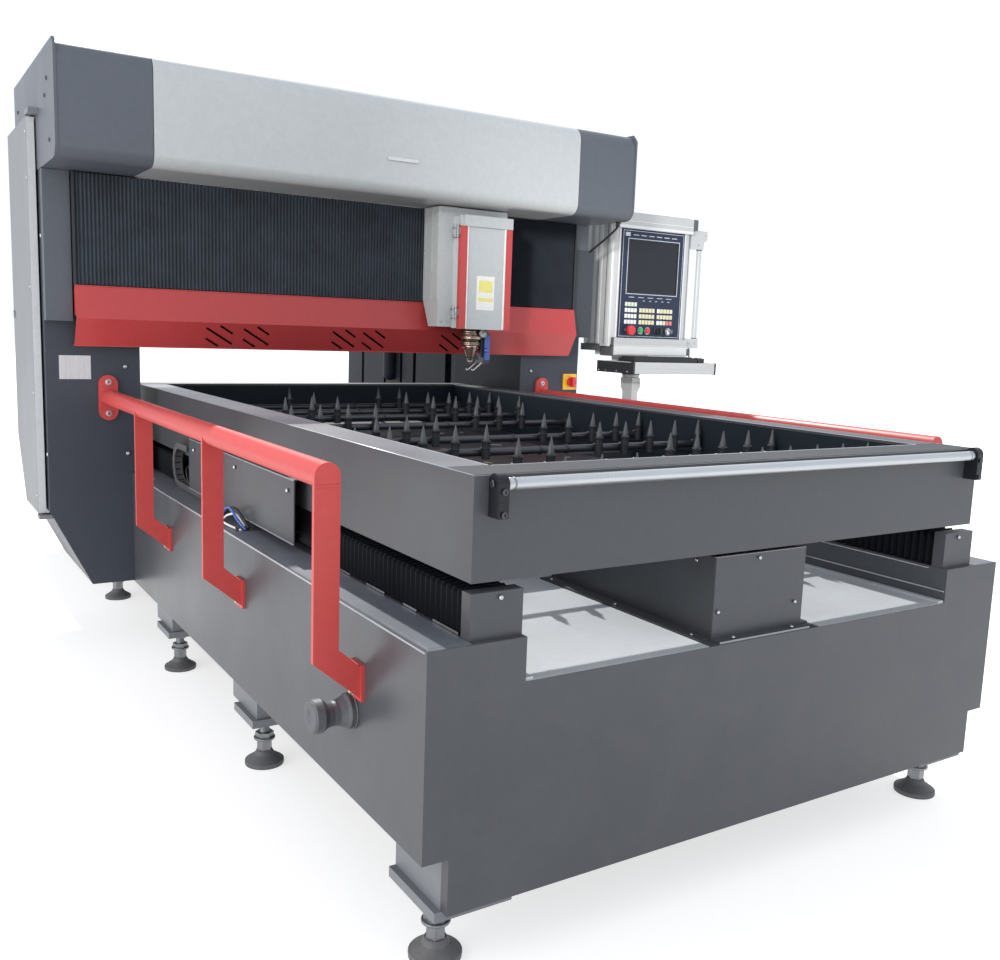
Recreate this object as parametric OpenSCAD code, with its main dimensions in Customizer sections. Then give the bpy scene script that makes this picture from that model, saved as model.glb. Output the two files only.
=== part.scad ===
// Laser die board cutter: moving spike table on a long bed, fixed gantry with a
// laser head, side doors, hand rails and a swivelling operator console.

/* [Bed] */
// Half width of the bed over its side walls
bed_hw = 800; // [780:5:820]
// Length of the bed, front to back
bed_len = 4050; // [4050:10:4200]
// Height of the rail ledges above the floor
ledge_z = 627; // [627:1:627]
// Half width of the sunken channel between the ledges
recess_hw = 602; // [596:1:602]
// Height of the channel floor
recess_z = 545; // [540:1:548]
// Lower edge of the side walls
wall_z = 248; // [248:1:248]
// Lower edge of the end plinths
plinth_z = 141; // [141:1:141]
// Diameter of a levelling pad
pad_d = 100; // [98:1:104]

/* [Table] */
// Half width of the table frame
table_hw = 707; // [707:1:707]
// Front face of the table at the loading end
table_y0 = 22; // [22:1:22]
// Rear face of the table at the loading end
table_y1 = 2517; // [2517:1:2517]
// Underside of the table frame
table_z0 = 727; // [727:1:727]
// Top of the table frame
table_z1 = 912; // [906:1:914]
// Height of the spike tips
tip_z = 905; // [895:1:906]
// Diameter of the spike posts
post_d = 23; // [20:1:24]
// Diameter of the cross rods
rod_d = 22; // [18:1:22]

/* [Gantry] */
// Inner face of each column, from the centre line
col_in = 770; // [765:1:772]
// Outer face of each column, from the centre line
col_out = 1064; // [1064:1:1064]
// Front face of the columns
col_y0 = 2134; // [2134:1:2134]
// Rear face of the columns
col_y1 = 2694; // [2680:1:2700]
// Front face of the top cover
cover_y0 = 1808; // [1800:1:1812]
// Underside of the top cover
cover_z0 = 1603; // [1603:1:1603]
// Top of the top cover
cover_z1 = 1929; // [1900:1:1935]
// Corner radius of the top cover
cover_r = 52; // [30:1:60]

/* [Laser head] */
// Centre of the head across the machine
head_x = 437; // [430:1:440]
// Distance of the nozzle axis from the front of the bed
nozzle_y = 1990; // [1985:1:1995]
// Height of the nozzle tip
nozzle_z = 1020; // [1015:1:1030]

/* [Console] */
// Post centre across the machine
post_x = 1412; // [1405:1:1420]
// Post centre from the front of the bed
post_y = 2190; // [2185:1:2195]
// Width of the console housing
con_w = 452; // [440:2:460]

/* [Colours] */
// Body paint
c_grey = "#5f6366"; // [#5f6366, #55595c]
// Light cover paint
c_light = "#c6ccce"; // [#c6ccce, #d0d4d6]
// Red parts
c_red = "#c0393b"; // [#c0393b, #b03032]
// Black parts
c_black = "#22252a"; // [#22252a, #2c2f33]

/* [Hidden] */
$fn = 48;
x_lo = -1094 - 3;
x_hi = 1708;
y_lo = -14;
y_hi = bed_len;
ox = -(x_lo + x_hi)/2;
oy = -(y_lo + y_hi)/2;
foot_y = [102, 1048, 1886, 2862, 3838];
foot_x = 712;
row_y = [250, 570, 870, 1150, 1560, 1870, 2090, 2340];
row_l = [3, 2, 5, 3, 4, 3, 1, 1];
row_r = [5, 5, 5, 5, 3, 5, 5, 2];
rod_z = 828;
rail_x = 657;
screw_z = 640;
xs_y = 2098;
xs_z = 1380;
slot_x = [-520, -390, -60, 60, 390, 520];
cable_r = 4.5;
cable_p = [[1050,1882,1603],[1051,1884,1590],[1056,1898,1581],[1064,1925,1572],[1071,1965,1556],
           [1074,2010,1536],[1074,2060,1513],[1074,2110,1491],[1072,2136,1481],[1069,2152,1476],[1064,2160,1474]];
kb_r = 2.5;
kb_p = [[1684,2110,1103],[1684,2110,1086],[1683,2107,1070],[1681,2100,1056],[1677,2090,1048],[1670,2077,1044.5],[1663,2064,1044]];
// panel controls: position across, stem radius
btn = [[1295,10],[1361,12],[1401,12],[1462,8],[1522,12]];
btn_z = 1174;

// ---- helpers -------------------------------------------------------------
module place() { translate([ox, oy, 0]) children(); }
module bx(x0, x1, y0, y1, z0, z1) { translate([x0, y0, z0]) cube([x1-x0, y1-y0, z1-z0]); }
module cx(x0, x1, y, z, r) { translate([x0, y, z]) rotate([0, 90, 0]) cylinder(h = x1-x0, r = r); }
module cy(y0, y1, x, z, r) { translate([x, y1, z]) rotate([90, 0, 0]) cylinder(h = y1-y0, r = r); }
module cz(z0, z1, x, y, r) { translate([x, y, z0]) cylinder(h = z1-z0, r = r); }
// profile drawn in X and Z, run along Y
module along_y(y0, y1) { translate([0, y1, 0]) rotate([90, 0, 0]) linear_extrude(y1-y0) children(); }
// profile drawn in Y and Z, run along X
module along_x(x0, x1) { translate([x0, 0, 0]) rotate([90, 0, 90]) linear_extrude(x1-x0) children(); }
module both() { children(); mirror([1, 0, 0]) children(); }

// ---- bed -----------------------------------------------------------------
module bed_half() {
  polygon([[0,recess_z],[recess_hw,recess_z],[recess_hw,ledge_z],[bed_hw,ledge_z],[bed_hw,wall_z],[0,wall_z]]);
}
module bed_hollow() {
  polygon([[-0.1,recess_z-20],[recess_hw+20,recess_z-20],[recess_hw+20,ledge_z-20],[bed_hw-16,ledge_z-20],[bed_hw-16,wall_z+12],[-0.1,wall_z+12]]);
}
module bed_frame() { place() color(c_grey) {
  difference() {
    union() {
      along_y(0, bed_len) both() bed_half();
      for (y = [0, bed_len-24]) bx(-bed_hw+52, bed_hw-52, y, y+24, plinth_z, wall_z+1);
    }
    // welded box section, with cross ribs over the feet
    for (y = [[24, 1036], [1060, 1874], [1900, 2850], [2876, 3826], [3852, bed_len-24]])
      along_y(y[0], y[1]) both() bed_hollow();
  }
} }
module foot_block(i) {
  yc = foot_y[i];
  a = i == 0 ? 24 : yc-47;
  b = i == 0 ? 200 : (i == 4 ? yc+98 : yc+150);
  fa = i == 0 ? 20 : yc-55;
  fb = i == 0 ? 200 : yc+98;
  difference() {
    union() { bx(560, 748, a, b, plinth_z, wall_z); bx(600, 762, fa, fb, plinth_z-20, plinth_z); }
    bx(559, 736, a+12, b-12, plinth_z, wall_z-12);
    cz(plinth_z-23, plinth_z+1, foot_x, yc, 13);
  }
}
module foot_blocks() { place() color(c_grey) both() for (i = [0:4]) foot_block(i); }
module levelling_pads() { place() color(c_black) both() for (y = foot_y)
  translate([foot_x, y, 0]) rotate_extrude() polygon([[0,0],[pad_d/2,0],[pad_d/2,10],[pad_d/2-4,14],[27,27],[21,36],[21,38],[0,38]]); }
module levelling_studs() { place() color("#3c3f42") both() for (y = foot_y) {
  cz(38, 178, foot_x, y, 12);
  translate([foot_x, y, 38]) cylinder(h = 30, r = 20, $fn = 6);
  cz(68, 74, foot_x, y, 27);
  translate([foot_x, y, 74]) rotate([0, 0, 20]) cylinder(h = 13, r = 24, $fn = 6);
  translate([foot_x, y, plinth_z-34]) cylinder(h = 14, r = 24, $fn = 6);
  translate([foot_x, y, plinth_z]) cylinder(h = 14, r = 23, $fn = 6);
} }
// the rails carry the table blocks on four grooved sides
module rail_profile(g = 0) {
  polygon([[-15-g,0],[15+g,0],[15+g,8],[11+g,13],[11+g,17],[15+g,21],[15+g,28+g],[-15-g,28+g],[-15-g,21],[-11-g,17],[-11-g,13],[-15-g,8]]);
}
module linear_rails() { place() color("#b9bcbe") both()
  translate([rail_x, 0, ledge_z]) along_y(50, 4000) rail_profile(); }
module rail_end_caps() { place() color(c_grey) both() {
  for (y = [[15, 45], [4005, 4035]]) difference() {
    bx(604, 711, y[0], y[1], ledge_z, 711);
    translate([0, y[0] < 100 ? 4 : -4, 0]) bx(608, 707, y[0], y[1], ledge_z-1, 707);
  }
  cy(12, 15, 652, 700, 4);
  cy(4035, 4038, 690, 690, 6);
} }
module bellows_profile() { difference() {
  translate([608, ledge_z+1.5]) square([99, 80]);
  translate([618, ledge_z]) square([79, 71]);
} }
module rail_bellows() { place() color(c_black) both() { along_y(46, 698) bellows_profile(); along_y(1842, 4004) bellows_profile(); } }
module rail_bellows_mid() { place() color(c_black) both() along_y(862, 1678) bellows_profile(); }

// ---- table drive ---------------------------------------------------------
module screw_cover() { place() color(c_grey) {
  difference() {
    union() { bx(-125, 125, 34, 600, recess_z, 716); bx(-160, 160, 34, 600, recess_z, recess_z+4); }
    bx(-121, 121, 33, 601, recess_z-1, 712);
  }
  bx(-131, 131, 28, 34, recess_z, 719);
  bx(-131, 131, 3, 28, recess_z, recess_z+4);
  for (p = [[-11, 708], [105, 601], [-120, 605]]) cy(25, 28, p[0], p[1], 3.5);
  for (x = [-85, 87]) cz(recess_z+4, recess_z+6, x, 13, 4);
} }
module servo_motor() { place() color("#2b2e33") difference() {
  union() {
    bx(-50, 50, 60, 200, screw_z-50, screw_z+50);
    bx(-44, 44, 44, 60, screw_z-44, screw_z+44);
    bx(-65, 65, 200, 214, recess_z, screw_z+58);
  }
  cy(170, 215, 0, screw_z, 11.05);
} }
module screw_bearings() { place() color("#4a4d50") for (y = [[345, 400], [3940, 3990]]) difference() {
  bx(-60, 60, y[0], y[1], recess_z, screw_z+42);
  cy(y[0]-1, y[1]+1, 0, screw_z, 20.05);
} }
module ball_screw() { place() color("#b4b7ba") { cy(250, 4000, 0, screw_z, 20); cy(172, 251, 0, screw_z, 11); cy(232, 300, 0, screw_z, 31); } }
module screw_nut() { place() color("#4a4d50") difference() {
  union() { cy(1170, 1330, 0, screw_z, 38); cy(1170, 1188, 0, screw_z, 52); bx(-60, 60, 1210, 1300, screw_z+5, table_z0); }
  cy(1160, 1340, 0, screw_z, 20.05);
} }
module rail_carriages() { place() color("#2c2f33") both() for (y = [[700, 860], [1680, 1840]]) difference() {
  bx(624, 690, y[0], y[1], ledge_z+7, table_z0);
  translate([rail_x, 0, ledge_z]) along_y(y[0]-1, y[1]+1) rail_profile(0.6);
  bx(rail_x-22, rail_x+22, y[0]-1, y[1]+1, ledge_z+6, ledge_z+9);
} }

// ---- table ---------------------------------------------------------------
module table_frame() { place() color(c_grey) difference() {
  union() {
    difference() {
      bx(-table_hw, table_hw, table_y0, table_y1, table_z0, table_z1);
      bx(-612, 612, table_y0+106, table_y1-95, table_z0-1, table_z1+1);
      // the rims are channels, open below
      difference() {
        bx(-table_hw+8, table_hw-8, table_y0+8, table_y1-8, table_z0-1, table_z1-8);
        bx(-620, 620, table_y0+98, table_y1-87, table_z0-2, table_z1);
      }
    }
    both() for (y = [[690, 870], [1670, 1850]]) bx(613, 703, y[0], y[1], table_z0, table_z0+12);
    for (y = [[700, 750], [1190, 1320], [2020, 2070]]) difference() {
      bx(-615, 615, y[0], y[1], table_z0, table_z0+40);
      bx(-611, 611, y[0]+6, y[1]-6, table_z0-1, table_z0+34);
    }
    bx(-80, 80, 1190, 1320, table_z0, table_z0+14);
  }
  // rear drain and sight slots in the tray level
  for (x = [-300, 300]) bx(x-40, x+40, table_y1-100, table_y1-82, table_z0+20, table_z0+40);
} }
module table_tray() { place() color("#7b7d7c") {
  // the front of the table is open to the bed
  bx(-612, 372, 720, table_y1-96, table_z0+40, table_z0+44);
  difference() {
    bx(372, 612, 720, table_y1-96, table_z0+20, table_z0+24);
    for (y = [[700, 750], [1190, 1320], [2020, 2070]]) bx(371, 613, y[0]-1, y[1]+1, table_z0+10, table_z0+44);
  }
} }
module table_rods() { place() color("#55595d") for (y = row_y) cx(-612, 612, y+22, rod_z, rod_d/2); }
function spikes_x(i) = concat([for (k = [0:1:row_l[i]-1]) -165-95*k], [for (k = [0:1:row_r[i]-1]) 215+95*k]);
module spike() {
  translate([0, 0, rod_z-16]) cylinder(h = tip_z-43-rod_z+16, r = post_d/2);
  translate([0, 0, tip_z-43]) cylinder(h = 43, r1 = 9, r2 = 0.8);
  translate([-9, 0, rod_z-10]) cube([18, 22, 20]);
}
module table_spikes() { place() color(c_black) for (i = [0:7]) difference() {
  for (x = spikes_x(i)) translate([x, row_y[i], 0]) spike();
  cx(-612, 612, row_y[i]+22, rod_z, rod_d/2+0.05);
} }
module roller_brackets() { place() color(c_black) both() difference() {
  union() { bx(658, 678, -12, table_y0, 842, 901); cx(658, 678, 5, 901, 17);
    for (z = [849, 888]) cy(-15, -12, 668, z, 4.5);
    cx(678, 681, 6, 900, 5); }
  cx(657, 672, 3, 899, 6.05);
} }
module loading_roller() { place() color("#d5d8da") { cx(-655, 655, 3, 899, 13); cx(-670, 670, 3, 899, 6); } }
module table_side_covers() { place() color(c_grey) both() {
  difference() { bx(table_hw, 742, 763, 1640, 646, 800); bx(table_hw-1, 739, 762, 1637, 640, 797); bx(table_hw+3, 739.5, 1630, 1641, 640, 776); }
  for (p = [[799, 770], [1191, 772], [1580, 771]]) cx(742, 745, p[0], p[1], 5);
} }
module energy_chain() { place() color("#3b3f44") mirror([1, 0, 0]) along_x(712, 738) {
  difference() {
    union() { translate([1781, 700]) circle(r = 71); translate([1665, 629]) square([116, 142]); }
    translate([1781, 700]) circle(r = 51);
    translate([1600, 649]) square([181, 102]);
  }
  translate([1400, 629]) square([266, 20]);
} }

// ---- gantry --------------------------------------------------------------
module col_outline(t = 0) {
  polygon([[col_in+t, ledge_z+t], [col_in+t, cover_z0-t], [col_out-t, cover_z0-t], [col_out-t, 510+t*0.4],
    [937-t*0.6, 252+t], [bed_hw+t, 252+t], [bed_hw+t, ledge_z+t]]);
}
module gantry_column() difference() {
  along_y(col_y0, col_y1) col_outline();
  along_y(col_y0+8, col_y1-8) col_outline(8);
  // service opening behind the side door
  bx(col_out-9, col_out+1, col_y0+76, col_y1-110, 560, 1580);
}
module gantry_column_right() { place() color(c_grey) gantry_column(); }
module gantry_column_left() { place() color(c_grey) mirror([1, 0, 0]) gantry_column(); }
// proud strips beside the cross bellows
module front_strips() { place() color("#6b6f72") both() difference() {
  bx(984, col_out, 2095, col_y0, 1135, cover_z0-1);
  bx(987, col_out-3, 2098, col_y0+1, 1138, cover_z0-4);
} }
module gantry_beam() { place() color(c_grey) difference() {
  bx(-col_in, col_in, col_y0, 2440, 1130, 1560);
  bx(-col_in-1, col_in+1, col_y0+12, 2428, 1142, 1548);
} }
module cross_axis_base() { place() color(c_grey) {
  bx(-975, 975, 2114, col_y0, 1150, 1598);
  for (x = [-965, 925]) difference() { bx(x, x+40, 2087, 2114, xs_z-24, xs_z+24); cx(x-1, x+41, xs_y, xs_z, 10.05); }
} }
module cross_rails() { place() color("#b9bcbe") for (z = [1264, 1500]) bx(-955, 955, 2092, 2114, z, z+24); }
module cross_screw() { place() color("#b4b7ba") cx(-960, 960, xs_y, xs_z, 10); }
module cross_bellows() { place() color(c_black) { bx(-978, 259, 2068, 2084, 1252, 1600); bx(553, 978, 2068, 2084, 1252, 1600); } }
module slot(l) { translate([-l/2, 0, -3.5]) cube([l, 90, 7]); }
module beam_cover() { place() color(c_red) difference() {
  union() {
    along_x(-982, 982) polygon([[2072,1249],[2065,1249],[2040,1145],[2090,1057],[2112,1057],[2112,1060],[2092,1060],
      [2043.2,1145.4],[2067.4,1246],[2072,1246]]);
    for (x = [-978, -260, 255, 972]) along_x(x, x+6) polygon([[2114,1154],[2114,1238],[2065,1238],[2044.8,1154]]);
  }
  for (x = slot_x) translate([x, 2030, 1100]) {
    rotate([0, 29, 0]) slot(112);
    translate([-22, 0, -22]) rotate([0, 29, 0]) slot(54);
    translate([22, 0, 22]) rotate([0, 29, 0]) slot(54);
  }
} }
// rounded section of the top cover, Y and Z
module cover_section(t = 0) {
  r1 = cover_r - t; r2 = 44 - t;
  y0 = cover_y0 + t; y1 = col_y1 - t; z0 = cover_z0 + t; z1 = cover_z1 - t;
  translate([y0 + max(r1, r2), z0]) square([y1-y0-max(r1, r2), z1-z0]);
  translate([y0, z0 + r2]) square([max(r1, r2) + 1, z1-z0-r1-r2]);
  translate([y0 + r1, z1 - r1]) circle(r = r1);
  translate([y0 + r2, z0 + r2]) circle(r = r2);
  translate([y0 + r2, z0]) square([max(r1, r2) - r2 + 1, r2 + 1]);
}
module top_cover_centre() { place() color(c_light) {
  difference() { along_x(-790, 790) cover_section(); along_x(-791, 791) cover_section(3); }
  // plain bright strip on the front
  bx(-17, 97, cover_y0-4, cover_y0, 1714, 1724);
} }
module top_cover_caps() { place() color(c_grey) both() {
  difference() { along_x(792, 1058) cover_section(); along_x(791, 1059) cover_section(3); }
  // end plates stand a little proud
  along_x(1058, 1066) polygon(concat(
    [for (a = [180:15:270]) [cover_y0+44+46*cos(a), cover_z0+46+46*sin(a)]],
    [[col_y1-42, cover_z0], [col_y1-42, cover_z1+4], [cover_y0+20, cover_z1+4], [cover_y0-2, cover_z1-22]]));
  for (p = [[1930, 1838], [1972, 1796], [1905, 1660], [2560, 1838]]) cx(1066, 1070, p[0], p[1], 6);
} }

// ---- side doors, pivoting on pins near their front edge --------------------
module door() {
  difference() {
    along_x(1070, 1094) polygon([[2172, 500], [2455, 500], [2630, 720], [2630, 1765], [2172, 1765]]);
    along_x(1069, 1091) polygon([[2192, 520], [2446, 520], [2610, 727], [2610, 1745], [2192, 1745]]);
    for (z = [499, 1751]) cz(z, z+15, 1082, 2181, 6.05);
  }
  cx(1094, 1097, 2600, 1150, 12);
}
module side_door_right() { place() color("#9ea2a1") door(); }
module side_door_left() { place() color("#9ea2a1") mirror([1, 0, 0]) door(); }
module door_pivots() { place() color("#4a4d50") both() {
  bx(1066, 1094, 2120, 2200, 1769, 1785);
  cz(1752, 1769.5, 1082, 2181, 6);
  for (y = [2140, 2168]) cz(1785, 1788, 1080, y, 5);
  along_y(2150, 2200) polygon([[slope_x(484)+0.2,484],[1094,484],[1094,496],[slope_x(496)+0.2,496]]);
  cz(495.5, 513, 1082, 2181, 6);
} }
// laser source housing behind the right column, with the source inside
module laser_cabinet() { place() color(c_grey) {
  difference() {
    union() { bx(778, 1064, 2696, 3930, 640, 1400); bx(806, 1064, 2696, 3930, 300, 641); }
    bx(790, 1058, 2706, 3920, 646, 1390);
    bx(812, 1058, 2706, 3920, 306, 647);
    for (p = [[2740, 2800], [3100, 3132], [3250, 3278], [3440, 3466], [3718, 3746]]) bx(777, 791, p[0], p[1], 700, 1340);
  }
  bx(bed_hw, 806.5, 2760, 2860, 400, 600);
  bx(bed_hw, 806.5, 3760, 3860, 400, 600);
  // round-bottomed duct
  difference() { union() { cz(912, 1380, 762, 3360, 36); translate([762, 3360, 912]) sphere(r = 36); } bx(790, 810, 3300, 3420, 860, 1381); }
} }

// ---- rails, switch and small fittings --------------------------------------
module bare_plates() { place() color("#b9bcbd") {
  bx(-1024, -927, col_y0-2, col_y0, 947, 1024);
  for (p = [[-819, 989], [-815, 697]]) cy(col_y0-5, col_y0, p[0], p[1], 6);
  for (p = [[819, 989], [815, 697]]) cy(col_y0-5, col_y0, p[0], p[1], 6);
} }
module main_switch_plate() { place() color("#e8b22c") difference() {
  union() { bx(988, 1056, col_y0-8, col_y0, 910, 978); cy(col_y0-14, col_y0-8, 1022, 944, 25); }
  cy(col_y0-15, col_y0-3, 1022, 944, 8.05);
} }
module main_switch_knob() { place() color(c_red) {
  cy(col_y0-15, col_y0-4, 1022, 944, 8);
  cy(col_y0-26, col_y0-14.5, 1022, 944, 21);
  bx(1014, 1030, col_y0-40, col_y0-25, 923, 965);
} }
hr_x = 875;
module handrail() {
  cy(255, col_y0-12, hr_x, 888, 25);
  // obround plate on the column
  translate([0, 0, 0]) difference() {
    union() { bx(hr_x-30, hr_x+30, col_y0-12, col_y0, 841, 931); cy(col_y0-12, col_y0, hr_x, 841, 30); cy(col_y0-12, col_y0, hr_x, 931, 30); }
  }
  for (z = [834, 938]) cy(col_y0-18, col_y0-11, hr_x, z, 8);
  for (y = [245, 940, 1630]) {
    difference() {
      union() {
        bx(hr_x-25, hr_x+25, y, y+10, 545, 888);
        along_y(y, y+10) polygon([[hr_x+25,545],[hr_x-25,545],[hr_x-25,565.5],[802,523],[802,462]]);
        if (y < 300) cy(y, y+10, hr_x, 888, 25);
      }
      if (y > 300) cy(y-1, y+11, hr_x, 888, 24);
    }
    bx(bed_hw, bed_hw+7, y-6, y+48, 460, 530);
    for (z = [472, 512]) cx(bed_hw+6, bed_hw+13, y+32, z, 7);
  }
}
module handrail_right() { place() color(c_red) handrail(); }
module handrail_left() { place() color(c_red) mirror([1, 0, 0]) handrail(); }
module bollards() { place() color("#7d8082") both() for (y = [298]) translate([bed_hw, y, 424]) rotate([0, 90, 0])
  rotate_extrude() polygon([[0,0],[34,0],[34,12],[30,18],[25,30],[24,42],[26,54],[33,64],[33,80],[31,82],[0,82]]); }

// ---- laser head ------------------------------------------------------------
module head_saddle() { place() color("#4a4d50") {
  bx(262, 550, 2054, 2066, 1256, 1598);
  bx(417, 457, 2043, 2054, 1262, 1590);
  for (z = [1264, 1500]) for (x = [280, 470]) difference() {
    bx(x, x+62, 2066, 2112, z-8, z+32);
    bx(x-1, x+63, 2091.4, 2113, z-0.6, z+24.6);
  }
  difference() { bx(376, 444, 2066, 2111, xs_z-30, xs_z+30); cx(375, 445, xs_y, xs_z, 10.05); }
} }
// folded box round the optics, open below and behind
module head_box() { place() color("#a9aeae") {
  difference() {
    union() {
      along_x(260, 552) polygon([[1940,1160],[2010,1160],[2054,1252],[2054,1598],[1940,1598]]);
      bx(322, 543, 1906, 1941, 1156, 1566);
    }
    along_x(263, 549) polygon([[1943,1150],[2010,1150],[2055,1249],[2055,1595],[1943,1595]]);
    bx(325, 540, 1905, 1944, 1150, 1563);
  }
  // hinge pins and leaves for the door
  for (z = [1204, 1500]) {
    cz(z-12, z+34, 316, 1898, 3);
    cz(z-12, z-0.5, 316, 1898, 6);
    cz(z+22.5, z+34, 316, 1898, 6);
    bx(314, 322, 1903, 1944, z-12, z-0.5);
    bx(314, 322, 1903, 1944, z+22.5, z+34);
  }
} }
module head_door() { place() color(c_light) {
  difference() {
    union() { bx(322, 545, 1888, 1904, 1154, 1568); bx(334, 545, 1880, 1888, 1530, 1570); }
    bx(330, 537, 1892, 1905, 1162, 1560);
  }
  // red edge strips
  for (x = [322, 519]) bx(x, x+26, 1884, 1888, 1156, 1528);
  // knuckles and leaves
  for (z = [1204, 1500]) { difference() { cz(z, z+22, 316, 1898, 6); cz(z-1, z+23, 316, 1898, 3.05); } bx(320, 323, 1890, 1904, z, z+22); }
} }
module nozzle_unit() { place() color("#8c5a3c") {
  translate([head_x, nozzle_y, nozzle_z]) rotate_extrude() polygon([[0,0],[4,0],[5,4],[9,8],[26,66],[26,70],[36,74],[36,84],
    [31,86],[31,94],[38,96],[38,108],[34,110],[34,360],[0,360]]);
  // back plate that runs on the upright guide
  bx(head_x-30, head_x+30, nozzle_y+30, nozzle_y+50, 1262, nozzle_z+360);
} }
module blow_unit() { place() color("#2f55a5") {
  // regulator on a bracket beside the nozzle
  bx(487, 513, 1972, 2008, 1034, 1136);
  bx(478.5, 488, 1980, 2004, 1046, 1136);
  cz(1135, 1300, 500, nozzle_y, 10);
  // round gauge
  cy(1945, 1957, 464, 1139, 15);
  bx(470, 490, 1947, 1974, 1133, 1147);
  bx(head_x+38.2, 488, nozzle_y-6, nozzle_y+6, nozzle_z+97, nozzle_z+107);
  // foot block and two bright tubes that blow at the cut
  bx(483, 513, 1970, 2028, 1025, 1036);
  for (y = [1978, 2020]) translate([488, y, 1030]) rotate([0, -129, 0]) cylinder(h = 53, r = 2);
} }

// ---- operator console --------------------------------------------------------
function slope_x(z) = 937 + (z-252)*(col_out-937)/(510-252);
module console_arm() { place() color(c_grey) {
  along_y(post_y-40, post_y+40) polygon([[slope_x(400)+0.2,400],[post_x,400],[post_x,478],[slope_x(478)+0.2,478]]);
  // flange on the sloping side of the column
  along_y(2140, 2240) polygon([[slope_x(350)+0.2,350],[slope_x(350)+9,350],[slope_x(478)+9,478],[slope_x(478)+0.2,478]]);
  for (y = [2153, 2227]) for (z = [362, 386]) translate([slope_x(z)+8.4, y, z]) rotate([0, 116.2, 0]) cylinder(h = 7, r = 7);
  bx(post_x-18, post_x+18, post_y-33, post_y+33, 380, 963);
  cz(963, 975, post_x, post_y, 40);
  cz(975, 1008, post_x, post_y, 15);
} }
module rrect(x0, x1, y0, y1, r) {
  translate([x0+r, y0]) square([x1-x0-2*r, y1-y0]);
  translate([x0, y0+r]) square([x1-x0, y1-y0-2*r]);
  for (x = [x0+r, x1-r]) for (y = [y0+r, y1-r]) translate([x, y]) circle(r = r);
}
con_x0 = 1193;
module console_housing() { place() color("#b9bcbb") {
  difference() {
    union() {
      translate([0, 0, 1102]) linear_extrude(578) rrect(con_x0, con_x0+con_w, 2091, 2290, 30);
      // top and bottom front profiles
      bx(1215, 1640, 2079, 2121, 1610, 1676);
      bx(1215, 1640, 2079, 2121, 1064, 1140);
      bx(1215, 1640, 2120, 2210, 1064, 1103);
      bx(1199, 1640, 2205, 2284, 1082, 1103);
      bx(post_x-62, post_x+62, 2150, 2260, 1038, 1103);
    }
    translate([0, 0, 1108]) linear_extrude(566) rrect(con_x0+6, con_x0+con_w-6, 2122, 2284, 24);
    // room for the stems behind the panel
    bx(1270, 1550, 2097, 2123, 1146, 1200);
    for (b = btn) cy(2090, 2098, b[0], btn_z, b[1]+3);
    // grooves along the sides
    for (x = [con_x0-1, con_x0+con_w-2]) for (y = [2142, 2232]) bx(x, x+3, y, y+7, 1101, 1681);
  }
  // handle bar on two arms
  cz(1140, 1560, 1710, 2110, 11.5);
  along_y(2095, 2125) polygon([[con_x0+con_w-1,1550],[1722,1550],[1724,1584],[1742,1594],[1742,1633],[con_x0+con_w-1,1633]]);
  bx(con_x0+con_w-1, 1722, 2095, 2125, 1103, 1147);
} }
module console_panel() { place() color("#20304f") difference() {
  union() {
    bx(1238, 1597, 2086, 2091, 1141, 1609);
    // bezels of the controls
    cy(2080, 2086.5, btn[0][0], btn_z, 17);
    for (i = [1, 2, 4]) cy(2079, 2086.5, btn[i][0], btn_z, 16);
    cy(2082, 2086.5, btn[3][0], btn_z, 15);
  }
  bx(1279, 1561, 2085, 2088, 1338, 1563);
  cy(2078, 2092, btn[0][0], btn_z, btn[0][1]+0.4);
  for (i = [1, 2]) cy(2078, 2092, btn[i][0], btn_z, btn[i][1]+0.4);
  for (i = [3, 4]) cy(2078, 2092, btn[i][0], btn_z, btn[i][1]+0.05);
} }
module emergency_stop() { place() color("#d0202a") { cy(2071, 2090, btn[0][0], btn_z, btn[0][1]); cy(2056, 2071, btn[0][0], btn_z, 20); } }
module start_button() { place() color("#1f9a4d") cy(2073, 2090, btn[1][0], btn_z, btn[1][1]); }
module stop_button() { place() color("#c8323c") cy(2073, 2090, btn[2][0], btn_z, btn[2][1]); }
module selector_knob() { place() color(c_black) { cy(2066, 2081, btn[3][0], btn_z, 16); cy(2080, 2090, btn[3][0], btn_z, btn[3][1]); bx(btn[3][0]-4, btn[3][0]+4, 2054, 2067, btn_z-15, btn_z+15); } }
module key_switch() { place() color("#c9ccce") { cy(2075, 2090, btn[4][0], btn_z, btn[4][1]); bx(btn[4][0]-1.5, btn[4][0]+1.5, 2052, 2076, btn_z-8, btn_z+8); } }
module console_tray() { place() color(c_black) {
  difference() {
    union() {
      bx(1222, 1702, 1958, 2200, 988, 1038);
      bx(1228, 1696, 1950, 1959, 992, 1036);
      cz(975.3, 1038, post_x, post_y, 42);
    }
    bx(1228, 1696, 1964, 2140, 994, 1032);
    cz(974, 1009, post_x, post_y, 15.05);
  }
} }
module keyboard_set() { place() color("#2a2d31") {
  bx(1250, 1612, 1975, 2085, 1038, 1054);
  bx(1258, 1604, 1985, 2075, 1053, 1060);
  // mouse
  translate([0, 0, 1038]) linear_extrude(20) rrect(1643, 1683, 1992, 2064, 18);
} }
module cord(p, r) { for (i = [0:1:len(p)-2]) hull() { translate(p[i]) sphere(r = r, $fn = 12); translate(p[i+1]) sphere(r = r, $fn = 12); } }
module cover_cable() { place() color(c_black) difference() { cord(cable_p, cable_r); bx(1030, 1070, 1860, 1900, 1603, 1612); bx(1050, 1064, 2150, 2170, 1460, 1490); } }
module keyboard_cable() { place() color(c_black) difference() { cord(kb_p, kb_r); bx(1674, 1694, 2100, 2120, 1103, 1109); bx(1653, 1673, 2055, 2064, 1037, 1051); } }

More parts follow.
